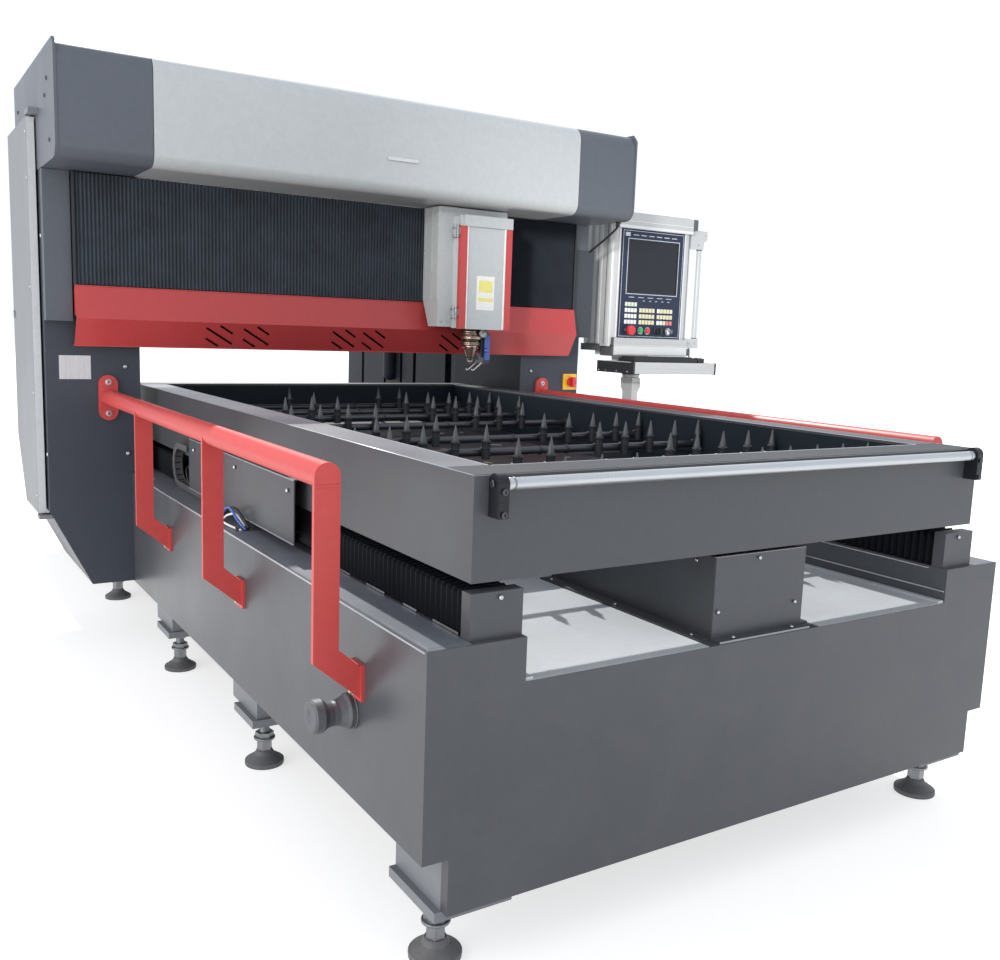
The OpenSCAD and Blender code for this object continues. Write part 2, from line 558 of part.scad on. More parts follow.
bed_frame();
foot_blocks();
levelling_pads();
levelling_studs();
linear_rails();
rail_end_caps();
rail_bellows();
rail_bellows_mid();
screw_cover();
servo_motor();
screw_bearings();
ball_screw();
screw_nut();
rail_carriages();
table_frame();
table_tray();
table_rods();
table_spikes();
roller_brackets();
loading_roller();
table_side_covers();
energy_chain();
gantry_column_left();
gantry_column_right();
front_strips();
gantry_beam();
cross_axis_base();
cross_rails();
cross_screw();
cross_bellows();
beam_cover();
top_cover_centre();
top_cover_caps();
side_door_left();
side_door_right();
door_pivots();
laser_cabinet();
bare_plates();
main_switch_plate();
main_switch_knob();
handrail_left();
handrail_right();
bollards();
head_saddle();
head_box();
head_door();
nozzle_unit();
blow_unit();
console_arm();
console_housing();
console_panel();
console_tray();
keyboard_set();
emergency_stop();
start_button();
stop_button();
selector_knob();
key_switch();
cover_cable();
keyboard_cable();
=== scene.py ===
import bpy, bmesh, math, random
from mathutils import Vector, Matrix


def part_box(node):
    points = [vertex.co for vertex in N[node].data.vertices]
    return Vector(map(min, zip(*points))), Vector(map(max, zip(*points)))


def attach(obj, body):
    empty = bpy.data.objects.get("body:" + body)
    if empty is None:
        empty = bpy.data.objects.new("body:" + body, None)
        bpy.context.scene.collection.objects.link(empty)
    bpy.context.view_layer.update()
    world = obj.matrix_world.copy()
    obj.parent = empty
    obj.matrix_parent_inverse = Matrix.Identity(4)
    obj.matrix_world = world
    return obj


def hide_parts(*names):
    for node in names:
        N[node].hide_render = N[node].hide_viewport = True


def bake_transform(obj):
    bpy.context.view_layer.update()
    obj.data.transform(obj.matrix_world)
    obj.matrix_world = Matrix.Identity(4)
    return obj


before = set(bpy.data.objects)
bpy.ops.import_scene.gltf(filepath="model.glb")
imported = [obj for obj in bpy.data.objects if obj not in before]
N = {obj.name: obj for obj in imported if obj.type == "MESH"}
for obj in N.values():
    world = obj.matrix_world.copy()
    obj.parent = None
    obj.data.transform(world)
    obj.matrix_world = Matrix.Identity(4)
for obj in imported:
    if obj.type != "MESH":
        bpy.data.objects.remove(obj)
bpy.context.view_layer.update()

_lo, _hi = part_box("bed_frame")
OX, OY = (_lo[0] + _hi[0]) / 2, _lo[1]


def P(x, y, z):
    """Machine millimetres (0 at the bed's centre line and front face) to the row frame in metres."""
    return Vector((OX + x / 1000.0, OY + y / 1000.0, z / 1000.0))


# ---------------------------------------------------------------- camera
scene = bpy.context.scene
cam_data = bpy.data.cameras.new("Camera")
cam = bpy.data.objects.new("Camera", cam_data)
scene.collection.objects.link(cam)
R = Vector((0.84610082, -0.53186295, 0.03514543))
U = Vector((0.04918012, 0.14355162, 0.98842008))
F = Vector((0.53074921, 0.83457458, -0.14761623))
m = Matrix(((R.x, U.x, -F.x), (R.y, U.y, -F.y), (R.z, U.z, -F.z))).to_4x4()
m.translation = P(-1557.5, -1395.0, 1153.7)
cam.matrix_world = m
cam_data.sensor_width = 36.0
cam_data.sensor_fit = "HORIZONTAL"
cam_data.lens = 36.083
cam_data.clip_start = 0.05
cam_data.clip_end = 100
cam_data.dof.use_dof = False
scene.camera = cam


# ---------------------------------------------------------------- materials
def nodes_of(mat):
    mat.use_nodes = True
    nt = mat.node_tree
    for n in list(nt.nodes):
        nt.nodes.remove(n)
    out = nt.nodes.new("ShaderNodeOutputMaterial")
    b = nt.nodes.new("ShaderNodeBsdfPrincipled")
    nt.links.new(b.outputs[0], out.inputs[0])
    return nt, b


def noise(nt, scale, detail=4.0, rough=0.55, vec=None, dist=0.0):
    n = nt.nodes.new("ShaderNodeTexNoise")
    n.inputs["Scale"].default_value = scale
    n.inputs["Detail"].default_value = detail
    n.inputs["Roughness"].default_value = rough
    n.inputs["Distortion"].default_value = dist
    if vec is not None:
        nt.links.new(vec, n.inputs["Vector"])
    return n


def coords(nt, scale=(1, 1, 1)):
    t = nt.nodes.new("ShaderNodeTexCoord")
    mp = nt.nodes.new("ShaderNodeMapping")
    mp.inputs["Scale"].default_value = scale
    nt.links.new(t.outputs["Object"], mp.inputs["Vector"])
    return mp.outputs[0]


def ramp(nt, src, stops):
    r = nt.nodes.new("ShaderNodeValToRGB")
    e = r.color_ramp.elements
    while len(e) < len(stops):
        e.new(0.5)
    for k, (p, c) in zip(e, stops):
        k.position = p
        k.color = (c[0], c[1], c[2], 1) if hasattr(c, "__len__") else (c, c, c, 1)
    nt.links.new(src, r.inputs[0])
    return r


def mul(c, k):
    return tuple(min(1.0, v * k) for v in c)


def paint(name, rgb, rough=0.38, metal=0.0, vary=0.10, dirt=0.0, dirt_rgb=(0.35, 0.34, 0.32), peel=0.012, coat=0.0,
          spec=0.5, streak=(1, 1, 1), big=1.3, fine=55.0, rvary=0.09):
    mat = bpy.data.materials.new(name)
    nt, b = nodes_of(mat)
    v = coords(nt, streak)
    n1 = noise(nt, big, 5, 0.6, v)
    n2 = noise(nt, fine, 6, 0.7, v)
    col = ramp(nt, n1.outputs["Fac"], [(0.30, mul(rgb, 1 - vary)), (0.70, mul(rgb, 1 + vary))])
    mix = nt.nodes.new("ShaderNodeMix"); mix.data_type = "RGBA"; mix.blend_type = "MULTIPLY"
    mix.inputs[0].default_value = 0.55
    nt.links.new(col.outputs[0], mix.inputs[6])
    sp = ramp(nt, n2.outputs["Fac"], [(0.35, 0.86), (0.65, 1.0)])
    nt.links.new(sp.outputs[0], mix.inputs[7])
    last = mix.outputs[2]
    if dirt > 0:
        n3 = noise(nt, 6.0, 8, 0.72, v, 0.4)
        md = nt.nodes.new("ShaderNodeMix"); md.data_type = "RGBA"
        dr = ramp(nt, n3.outputs["Fac"], [(0.46, 0.0), (0.70, dirt)])
        nt.links.new(dr.outputs[0], md.inputs[0])
        nt.links.new(last, md.inputs[6])
        md.inputs[7].default_value = (*dirt_rgb, 1)
        last = md.outputs[2]
    nt.links.new(last, b.inputs["Base Color"])
    rr = ramp(nt, n1.outputs["Fac"], [(0.3, max(0.04, rough - rvary)), (0.7, min(1.0, rough + rvary))])
    nt.links.new(rr.outputs[0], b.inputs["Roughness"])
    b.inputs["Metallic"].default_value = metal
    b.inputs["Specular IOR Level"].default_value = spec
    if coat:
        b.inputs["Coat Weight"].default_value = coat
        b.inputs["Coat Roughness"].default_value = 0.12
    if peel:
        n4 = noise(nt, 620.0, 2, 0.5, coords(nt))
        bu = nt.nodes.new("ShaderNodeBump")
        bu.inputs["Strength"].default_value = 0.35
        bu.inputs["Distance"].default_value = peel * 0.01
        nt.links.new(n4.outputs["Fac"], bu.inputs["Height"])
        nt.links.new(bu.outputs[0], b.inputs["Normal"])
    return mat


def brushed(name, rgb, rough=0.28, stretch=(2, 60, 60), metal=1.0, vary=0.12):
    mat = bpy.data.materials.new(name)
    nt, b = nodes_of(mat)
    v = coords(nt, stretch)
    n1 = noise(nt, 6.0, 6, 0.6, v)
    n0 = noise(nt, 3.0, 4, 0.6, coords(nt))
    col = ramp(nt, n1.outputs["Fac"], [(0.3, mul(rgb, 1 - vary)), (0.7, mul(rgb, 1 + vary))])
    nt.links.new(col.outputs[0], b.inputs["Base Color"])
    rr = ramp(nt, n0.outputs["Fac"], [(0.3, max(0.05, rough - 0.08)), (0.7, rough + 0.10)])
    nt.links.new(rr.outputs[0], b.inputs["Roughness"])
    b.inputs["Metallic"].default_value = metal
    bu = nt.nodes.new("ShaderNodeBump")
    bu.inputs["Strength"].default_value = 0.25
    bu.inputs["Distance"].default_value = 0.0002
    nt.links.new(n1.outputs["Fac"], bu.inputs["Height"])
    nt.links.new(bu.outputs[0], b.inputs["Normal"])
    return mat


def cloth(name, rgb, rough=0.75):
    mat = bpy.data.materials.new(name)
    nt, b = nodes_of(mat)
    v = coords(nt)
    w1 = nt.nodes.new("ShaderNodeTexWave"); w1.inputs["Scale"].default_value = 320.0; w1.bands_direction = "Z"
    nt.links.new(v, w1.inputs["Vector"])
    n1 = noise(nt, 14.0, 5, 0.6, v)
    col = ramp(nt, n1.outputs["Fac"], [(0.3, mul(rgb, 0.75)), (0.7, mul(rgb, 1.35))])
    nt.links.new(col.outputs[0], b.inputs["Base Color"])
    b.inputs["Roughness"].default_value = rough
    b.inputs["Sheen Weight"].default_value = 0.15
    b.inputs["Sheen Roughness"].default_value = 0.45
    bu = nt.nodes.new("ShaderNodeBump")
    bu.inputs["Strength"].default_value = 0.15
    bu.inputs["Distance"].default_value = 0.0003
    nt.links.new(w1.outputs["Fac"], bu.inputs["Height"])
    nt.links.new(bu.outputs[0], b.inputs["Normal"])
    return mat


M = {
    "grey": paint("slate_enamel", (0.0884, 0.0996, 0.1184), 0.42, vary=0.05, coat=0.03, spec=0.35),
    "grey_bed": paint("slate_enamel_bed", (0.058, 0.062, 0.070), 0.38, vary=0.07, dirt=0.03, coat=0.05, spec=0.35),
    "channel": paint("dusty_channel", (0.4260, 0.4473, 0.4686), 0.45, vary=0.10, dirt=0.45, dirt_rgb=(0.42, 0.43, 0.44)),
    "side": paint("side_powder", (0.47, 0.495, 0.50), 0.45, vary=0.03),
    "light": paint("light_grey_gloss", (0.4324, 0.4559, 0.4606), 0.33, vary=0.015, coat=0.25, rvary=0.04),
    "red": paint("red_gloss", (0.465, 0.050, 0.051), 0.38, vary=0.04, coat=0.1, spec=0.4),
    "red_rail": paint("rail_red_gloss", (0.500, 0.062, 0.058), 0.40, vary=0.05, coat=0.0, spec=0.3),
    "black": paint("black_oxide", (0.022, 0.024, 0.028), 0.46, vary=0.2, metal=0.2, dirt=0.12, dirt_rgb=(0.12, 0.12, 0.12)),
    "spike": paint("spike_black", (0.026, 0.028, 0.033), 0.42, vary=0.2, metal=0.35),
    "steel": brushed("ground_steel", (0.55, 0.56, 0.58), 0.24),
    "chrome": brushed("polished_roller", (0.47, 0.49, 0.51), 0.30, (2, 40, 40), metal=0.75, vary=0.06),
    "tray": paint("dusty_tray", (0.026, 0.026, 0.032), 0.5, metal=0.2, vary=0.25, dirt=0.28, dirt_rgb=(0.09, 0.088, 0.092)),
    "rubber": paint("pad_rubber", (0.095, 0.096, 0.100), 0.6, vary=0.2, dirt=0.35, dirt_rgb=(0.22, 0.21, 0.21)),
    "bellows": cloth("bellows_cloth", (0.026, 0.036, 0.050)),
    "motor": paint("motor_black", (0.02, 0.021, 0.024), 0.45),
    "copper": brushed("brown_anodised", (0.42, 0.32, 0.26), 0.34, (1, 1, 30)),
    "blue": paint("blue_gloss", (0.03, 0.10, 0.42), 0.3, coat=0.3),
    "console": brushed("anodised_light", (0.47, 0.485, 0.485), 0.42, (40, 40, 2), metal=0.08, vary=0.03),
    "profile": brushed("anodised_profile", (0.68, 0.69, 0.67), 0.36, (2, 40, 40), metal=0.15, vary=0.03),
    "navy": paint("navy_overlay", (0.0172, 0.0250, 0.0546), 0.5, vary=0.06, spec=0.3),
    "bplastic": paint("black_moulding", (0.022, 0.023, 0.026), 0.5, vary=0.12),
    "redp": paint("red_moulding", (0.60, 0.02, 0.025), 0.28, vary=0.05, coat=0.3),
    "green": paint("green_moulding", (0.02, 0.33, 0.10), 0.28, vary=0.05, coat=0.3),
    "yellow": paint("yellow_moulding", (0.78, 0.46, 0.03), 0.32, vary=0.05, coat=0.3),
    "plate": brushed("bare_plate", (0.62, 0.63, 0.64), 0.4, (60, 2, 2)),
    "cable": paint("cable_sheath", (0.014, 0.014, 0.015), 0.5, vary=0.1),
    "white": paint("white_moulding", (0.72, 0.72, 0.70), 0.4, vary=0.03),
    "bolt": brushed("zinc_bolt", (0.55, 0.56, 0.58), 0.3, (8, 8, 8)),
    "dark": paint("dark_gap", (0.006, 0.006, 0.007), 0.9, vary=0.1),
    "screen": paint("screen_glass", (0.0120, 0.0142, 0.0203), 0.22, vary=0.02, peel=0, spec=0.35, rvary=0.02),
    "studs": brushed("dull_steel", (0.24, 0.25, 0.26), 0.42, (8, 8, 2)),
}
M.update({
    "dark_brown": paint("dark_brown_anodised", (0.050, 0.036, 0.030), 0.4, metal=0.4),
    "copper_light": brushed("tan_anodised", (0.60, 0.47, 0.38), 0.34, (1, 1, 30)),
    "pale_yellow": paint("pale_yellow_print", (0.72, 0.66, 0.20), 0.5, vary=0.05),
    "pale_face": paint("gauge_face", (0.62, 0.66, 0.60), 0.35, vary=0.04),
    "overlay_line": paint("overlay_line", (0.52, 0.56, 0.62), 0.45, vary=0.05),
    "key_white": paint("key_white", (0.74, 0.75, 0.74), 0.45, vary=0.04),
    "key_green": paint("key_green_white", (0.58, 0.68, 0.56), 0.45, vary=0.04),
    "key_cream": paint("key_cream", (0.66, 0.62, 0.42), 0.45, vary=0.05),
    "key_pink": paint("key_pink", (0.62, 0.20, 0.20), 0.45, vary=0.05),
    "bezel": brushed("bezel_metal", (0.42, 0.43, 0.44), 0.3, (20, 2, 20)),
    "cap_grey": paint("cap_dark_grey", (0.095, 0.095, 0.100), 0.5, vary=0.08),
    "profile_light": paint("profile_light", (0.48, 0.49, 0.485), 0.38, vary=0.03, coat=0.1),
    "keycap": paint("keycap_moulding", (0.032, 0.034, 0.036), 0.55, vary=0.12),
    "post": paint("post_light_grey", (0.52, 0.525, 0.515), 0.42, vary=0.03, coat=0.1),
    # ledge paint, replaced below: dust, lightened as painted light
    "ledge": paint("ledge_dust_and_painted_light_first", (0.155, 0.165, 0.18), 0.36, vary=0.08, dirt=0.15, dirt_rgb=(0.30, 0.31, 0.33), coat=0.2),
    "grey_light": paint("slate_enamel_worn", (0.22, 0.23, 0.25), 0.36, vary=0.08, coat=0.2),
    # lighter copy of the rim paint: painted light on the top of the left rim
    "rim": paint("rim_top_painted_light", (0.13, 0.14, 0.16), 0.34, vary=0.07, coat=0.12),
    # painted highlight line along the folds inside the rims
    "rim_edge": paint("rim_edge_painted_highlight", (0.26, 0.275, 0.30), 0.34, vary=0.08, coat=0.1),
    "rail_dark": paint("inner_wall_dark", (0.014, 0.021, 0.028), 0.5, vary=0.12, spec=0.15),
    "spike_tip": paint("spike_point_worn", (0.085, 0.090, 0.095), 0.40, metal=0.4, vary=0.15),
    "offcut": paint("ply_offcut", (0.26, 0.22, 0.17), 0.7, vary=0.25),
    "brass_fit": brushed("brass_fitting", (0.62, 0.46, 0.22), 0.3, (8, 8, 8)),
    "cabinet": paint("cabinet_dark_slate", (0.016, 0.020, 0.026), 0.5, vary=0.08, spec=0.2),
    # near-black paint for the painted shade on the inner faces of the columns
    "column_inner": paint("column_inner_painted_shade", (0.013, 0.016, 0.023), 0.5, vary=0.08, spec=0.15),
    "door": paint("door_powder", (0.1875, 0.1975, 0.2075), 0.5, vary=0.03, spec=0.3),
    "chain": paint("chain_grey", (0.085, 0.085, 0.088), 0.5, vary=0.12),
    "dark_blue": paint("regulator_dark_blue", (0.014, 0.020, 0.040), 0.38, vary=0.08, coat=0.2),
    # lighter paint meant for painted highlights on fold tips
    "fold_painted_highlight": paint("fold_painted_highlight", (0.075, 0.082, 0.105), 0.5, vary=0.15),
    "grey_col": paint("slate_enamel_columns", (0.044, 0.051, 0.066), 0.42, vary=0.05, spec=0.3),
    "grey_table": paint("slate_enamel_table", (0.063, 0.067, 0.074), 0.40, vary=0.05, coat=0.04, spec=0.3),
    # darker copies of the rim paint: painted shade on the front lip and on the right rim
    "rim_front": paint("rim_front_painted_shade", (0.060, 0.064, 0.070), 0.6, vary=0.07, spec=0.12),
    "rim_right": paint("rim_right_painted_shade", (0.080, 0.084, 0.092), 0.5, vary=0.07, spec=0.2),
    # bright paint for the painted highlights on the rim and ledge corners
    "edge_worn": paint("edge_worn", (0.34, 0.36, 0.39), 0.36, vary=0.12, coat=0.2),
    "rail_fold": paint("rail_fold_black", (0.0065, 0.0075, 0.0105), 0.7, vary=0.3, spec=0.12),
    # lighter paint for the painted highlight beads on the rail bellows folds
    "rail_tip": paint("rail_fold_painted_highlight", (0.020, 0.023, 0.032), 0.6, vary=0.2, spec=0.2),
    "bollard": brushed("cast_bollard", (0.11, 0.115, 0.125), 0.5, (10, 10, 4), metal=0.6, vary=0.15),
    "rod": brushed("steel_rod", (0.062, 0.065, 0.074), 0.34, (40, 2, 2), metal=0.7, vary=0.1),
    "strip_dark": paint("strip_slate_shaded", (0.050, 0.058, 0.070), 0.45, vary=0.05, spec=0.25),
    "bracket_black": paint("bracket_black", (0.009, 0.010, 0.014), 0.38, vary=0.15, spec=0.3),
    "bolt_dark": brushed("bolt_blackened", (0.09, 0.09, 0.10), 0.35, (8, 8, 8), metal=0.8),
    "foot": paint("foot_block_enamel", (0.165, 0.175, 0.190), 0.42, vary=0.06, spec=0.3),
    "bellows_r": cloth("bellows_cloth_shaded", (0.013, 0.019, 0.029)),
    # pale paint for the painted highlight down the doors' front edges
    "door_edge": paint("door_edge_painted_highlight", (0.54, 0.56, 0.58), 0.42, vary=0.03),
    "cover_strip": paint("cover_strip_pale", (0.56, 0.57, 0.57), 0.4, vary=0.03),
    # ledge paint: dust, lightened as painted light on the ledge tops
    "ledge": paint("ledge_dust_and_painted_light", (0.115, 0.127, 0.150), 0.40, vary=0.16, dirt=0.25, dirt_rgb=(0.22, 0.23, 0.25), spec=0.4),
})
NODE_MAT = {
    "bed_frame": "grey_bed", "foot_blocks": "foot", "levelling_pads": "rubber", "levelling_studs": "studs",
    "linear_rails": "steel", "rail_end_caps": "grey_table", "rail_bellows": "rail_fold", "rail_bellows_mid": "rail_fold",
    "screw_cover": "grey_table", "servo_motor": "motor", "screw_bearings": "black", "ball_screw": "steel", "screw_nut": "black",
    "rail_carriages": "black", "table_frame": "grey_table", "table_tray": "tray", "table_rods": "rod", "table_spikes": "spike",
    "roller_brackets": "bracket_black", "loading_roller": "chrome", "table_side_covers": "grey_table", "energy_chain": "chain",
    "gantry_column_left": "grey_col", "gantry_column_right": "grey_col", "front_strips": "grey", "gantry_beam": "grey",
    "cross_axis_base": "grey", "cross_rails": "steel", "cross_screw": "steel", "cross_bellows": "bellows",
    "beam_cover": "red", "top_cover_centre": "light", "top_cover_caps": "grey", "side_door_left": "door",
    "side_door_right": "door", "door_pivots": "door", "laser_cabinet": "cabinet", "bare_plates": "plate",
    "main_switch_plate": "yellow", "main_switch_knob": "redp", "handrail_left": "red_rail", "handrail_right": "red_rail",
    "bollards": "bollard", "head_saddle": "black", "head_box": "side", "head_door": "light", "nozzle_unit": "copper",
    "blow_unit": "dark_blue", "console_arm": "post", "console_housing": "console", "console_panel": "navy",
    "console_tray": "bplastic", "keyboard_set": "bplastic", "emergency_stop": "redp", "start_button": "green",
    "stop_button": "redp", "selector_knob": "bplastic", "key_switch": "steel", "cover_cable": "cable",
    "keyboard_cable": "cable",
}
BEVEL = {
    "bed_frame": 8.0, "table_frame": 6.0, "foot_blocks": 2.5, "gantry_column_left": 3.0, "gantry_column_right": 3.0,
    "beam_cover": 0.8, "top_cover_caps": 0.8, "top_cover_centre": 0.8, "side_door_left": 2.0, "side_door_right": 2.0,
    "head_box": 1.0, "head_door": 1.5, "console_housing": 1.2, "console_tray": 3.0, "keyboard_set": 1.5, "front_strips": 1.5,
    "screw_cover": 0.9, "rail_end_caps": 1.2, "table_side_covers": 0.9, "handrail_left": 1.5, "handrail_right": 1.5,
    "roller_brackets": 2.0, "main_switch_plate": 1.5, "laser_cabinet": 1.5, "console_arm": 2.5, "cross_axis_base": 1.0,
    "levelling_studs": 1.0, "console_panel": 0.6, "screw_bearings": 1.0, "servo_motor": 1.5, "door_pivots": 1.0,
    "head_saddle": 1.0, "blow_unit": 1.0, "table_tray": 0.5, "main_switch_knob": 1.5, "bare_plates": 0.4, "levelling_pads": 1.0,
    "emergency_stop": 3.0, "start_button": 1.0, "stop_button": 1.0, "selector_knob": 1.0, "key_switch": 0.6, "gantry_beam": 2.0,
    "table_spikes": 0.5,
}
for name, o in N.items():
    o.data.materials.clear()
    o.data.materials.append(M[NODE_MAT[name]])
    w = BEVEL.get(name)
    if w:
        b = o.modifiers.new("edge", "BEVEL")
        b.width = w / 1000.0
        b.segments = 2
        b.limit_method = "ANGLE"
        b.angle_limit = math.radians(35)
        b.use_clamp_overlap = True
        b.harden_normals = False


# ---------------------------------------------------------------- mesh helpers
def box(bm, x0, x1, y0, y1, z0, z1, mi=0):
    vs = [bm.verts.new(P(x, y, z)) for z in (z0, z1) for y in (y0, y1) for x in (x0, x1)]
    for f in ((0, 2, 3, 1), (4, 5, 7, 6), (0, 1, 5, 4), (2, 6, 7, 3), (0, 4, 6, 2), (1, 3, 7, 5)):
        fc = bm.faces.new([vs[i] for i in f]); fc.material_index = mi
    return vs


def frame_axes(d):
    d = Vector(d).normalized()
    a = Vector((0, 0, 1)) if abs(d.z) < 0.9 else Vector((1, 0, 0))
    u = d.cross(a).normalized()
    return d, u, d.cross(u).normalized()


def lathe(bm, base, axis, prof, n=24, mi=0, smooth=True):
    """prof: (distance along the axis, radius) in mm from base, a point in machine mm."""
    d, u, v = frame_axes(axis)
    o = P(*base)
    rings = []
    for h, r in prof:
        c = o + d * (h / 1000.0)
        if r <= 1e-6:
            rings.append([bm.verts.new(c)])
        else:
            rings.append([bm.verts.new(c + (u * math.cos(2 * math.pi * k / n) + v * math.sin(2 * math.pi * k / n)) * (r / 1000.0)) for k in range(n)])
    for a, b_ in zip(rings, rings[1:]):
        for k in range(n):
            k2 = (k + 1) % n
            if len(a) == 1 and len(b_) == 1:
                continue
            if len(a) == 1:
                f = bm.faces.new((a[0], b_[k2], b_[k]))
            elif len(b_) == 1:
                f = bm.faces.new((a[k], a[k2], b_[0]))
            else:
                f = bm.faces.new((a[k], a[k2], b_[k2], b_[k]))
            f.smooth = smooth; f.material_index = mi
    for ring, flip in ((rings[0], True), (rings[-1], False)):
        if len(ring) > 2:
            f = bm.faces.new(ring[::-1] if flip else ring); f.material_index = mi


def bolt(bm, base, axis, r=7.0, h=6.0, mi=0):
    """Socket cap screw with a chamfer and a hexagonal recess."""
    lathe(bm, base, axis, [(0, r * 1.25), (1.0, r * 1.25), (1.0, r), (h - 1.0, r), (h, r - 1.0), (h, r * 0.55), (h - 3.0, r * 0.55), (h - 3.0, 0)], 18, mi, smooth=False)


def button_screw(bm, base, axis, r=6.0, mi=0):
    lathe(bm, base, axis, [(0, r), (1.2, r), (2.4, r * 0.82), (3.0, r * 0.5), (3.0, r * 0.42), (1.6, r * 0.40), (1.6, 0)], 18, mi)


def make(name, bm, mats, body, bevel=0.0, smooth_angle=None, blend=None, replaces=()):
    bmesh.ops.recalc_face_normals(bm, faces=bm.faces)
    me = bpy.data.meshes.new(name)
    bm.to_mesh(me); bm.free()
    o = bpy.data.objects.new(name, me)
    scene.collection.objects.link(o)
    for mm in (mats if isinstance(mats, (list, tuple)) else [mats]):
        me.materials.append(M[mm])
    if bevel:
        b = o.modifiers.new("edge", "BEVEL"); b.width = bevel / 1000.0; b.segments = 2
        b.limit_method = "ANGLE"; b.angle_limit = math.radians(40)
    if blend:
        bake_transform(o)
    else:
        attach(o, body)
    if replaces:
        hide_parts(*replaces)
    return o


def tube(bm, pts, r, n=12, mi=0, caps=True):
    """Round tube through points in machine mm."""
    ps = [P(*p) for p in pts]
    rings = []
    up = None
    for i, p in enumerate(ps):
        d = (ps[min(i + 1, len(ps) - 1)] - ps[max(i - 1, 0)]).normalized()
        if up is None:
            up = frame_axes(d)[1]
        up = (up - d * up.dot(d)).normalized()
        w = d.cross(up)
        rr = (r[i] if hasattr(r, "__len__") else r) / 1000.0
        rings.append([bm.verts.new(p + (up * math.cos(2 * math.pi * k / n) + w * math.sin(2 * math.pi * k / n)) * rr) for k in range(n)])
    for a, b_ in zip(rings, rings[1:]):
        for k in range(n):
            f = bm.faces.new((a[k], a[(k + 1) % n], b_[(k + 1) % n], b_[k])); f.smooth = True; f.material_index = mi
    if caps:
        for ring in (rings[0], rings[-1]):
            f = bm.faces.new(ring); f.material_index = mi


def catmull(pts, per=6):
    out = []
    p = [Vector(q) for q in pts]
    for i in range(len(p) - 1):
        a, b_, c, d = p[max(i - 1, 0)], p[i], p[i + 1], p[min(i + 2, len(p) - 1)]
        for k in range(per):
            t = k / per
            out.append(0.5 * ((2 * b_) + (c - a) * t + (2 * a - 5 * b_ + 4 * c - d) * t * t + (3 * b_ - a - 3 * c + d) * t ** 3))
    out.append(p[-1])
    return [tuple(v) for v in out]


# ---------------------------------------------------------------- bellows
def rail_bellows(name, y0, y1, body, blend=None, replaces=(), pitch=21.0):
    """Folded cover, an upside-down U, over a rail on both sides."""
    bm = bmesh.new()
    n = int(round((y1 - y0) / pitch)) * 2
    for s in (-1, 1):
        prev = None
        for i in range(n + 1):
            y = y0 + (y1 - y0) * i / n
            a = 0.0 if i % 2 == 0 else 14.0
            xo, xi, zt = 707 - a, 608 + a, 708.5 - a
            c = 5.0
            ring = [(xi, 629), (xi, zt - c), (xi + c, zt), (xo - c, zt), (xo, zt - c), (xo, 629)]
            cur = [bm.verts.new(P(s * x, y, z)) for x, z in ring]
            if prev:
                for k in range(5):
                    bm.faces.new((prev[k], prev[k + 1], cur[k + 1], cur[k]))
            prev = cur
    o = make(name, bm, "rail_fold", body, blend=blend, replaces=replaces)
    return o


def thicken(o, t):
    so = o.modifiers.new("thick", "SOLIDIFY"); so.thickness = t / 1000.0; so.offset = -1.0


def bellows_fold_highlights(name, y0, y1, body, blend=None, pitch=21.0):
    """Painted highlight on the outer folds, one fine lighter bead up each fold."""
    bm = bmesh.new()
    n = int(round((y1 - y0) / pitch))
    for s in (-1, 1):
        for i in range(n + 1):
            y = y0 + (y1 - y0) * i / n
            tube(bm, [(s * 707.0, y, 629.5), (s * 707.0, y, 703), (s * 704, y, 707.3), (s * 690, y, 708.8), (s * 625, y, 708.8)], [0.9] * 5, 6, 0)
    return make(name, bm, "rail_tip", body, blend=blend)


A, B = P(0, 46, 660), P(0, 698, 660)
thicken(rail_bellows("rail_bellows_front_folds", 46, 698, None, ("machine", "table", A, B), ("rail_bellows",), 20.0), 1.2)
bellows_fold_highlights("rail_bellows_front_highlights", 46, 698, None, ("machine", "table", A, B), 20.0)
A, B = P(0, 4004, 660), P(0, 1842, 660)
thicken(rail_bellows("rail_bellows_rear_folds", 1842, 4004, None, ("machine", "table", A, B), (), 24.0), 1.2)
thicken(rail_bellows("rail_bellows_mid_folds", 862, 1678, "table", None, ("rail_bellows_mid",), 24.0), 1.2)


def cross_bellows(name, x0, x1, fixed_x, moving_x, pitch=12.0, rep=()):
    bm = bmesh.new()
    n = int(round((x1 - x0) / pitch)) * 2
    prev = None
    for i in range(n + 1):
        x = x0 + (x1 - x0) * i / n
        y = 2068.5 if i % 2 == 0 else 2076.5
        cur = [bm.verts.new(P(x, yy, z)) for yy, z in ((y + 0.0, 1252.5), (y, 1254), (y, 1596), (min(2083.5, y + 8), 1600))]
        if prev:
            for k in range(3):
                bm.faces.new((prev[k], prev[k + 1], cur[k + 1], cur[k]))
        prev = cur
    o = make(name, bm, "bellows_r" if "right" in name else "bellows", None, blend=("machine", "head", P(fixed_x, 2075, 1400), P(moving_x, 2075, 1400)), replaces=rep)
    thicken(o, 1.0)
    return o


cross_bellows("cross_bellows_left_folds", -978, 259, -978, 259, rep=("cross_bellows",))
cross_bellows("cross_bellows_right_folds", 553, 978, 978, 553, pitch=9.0)

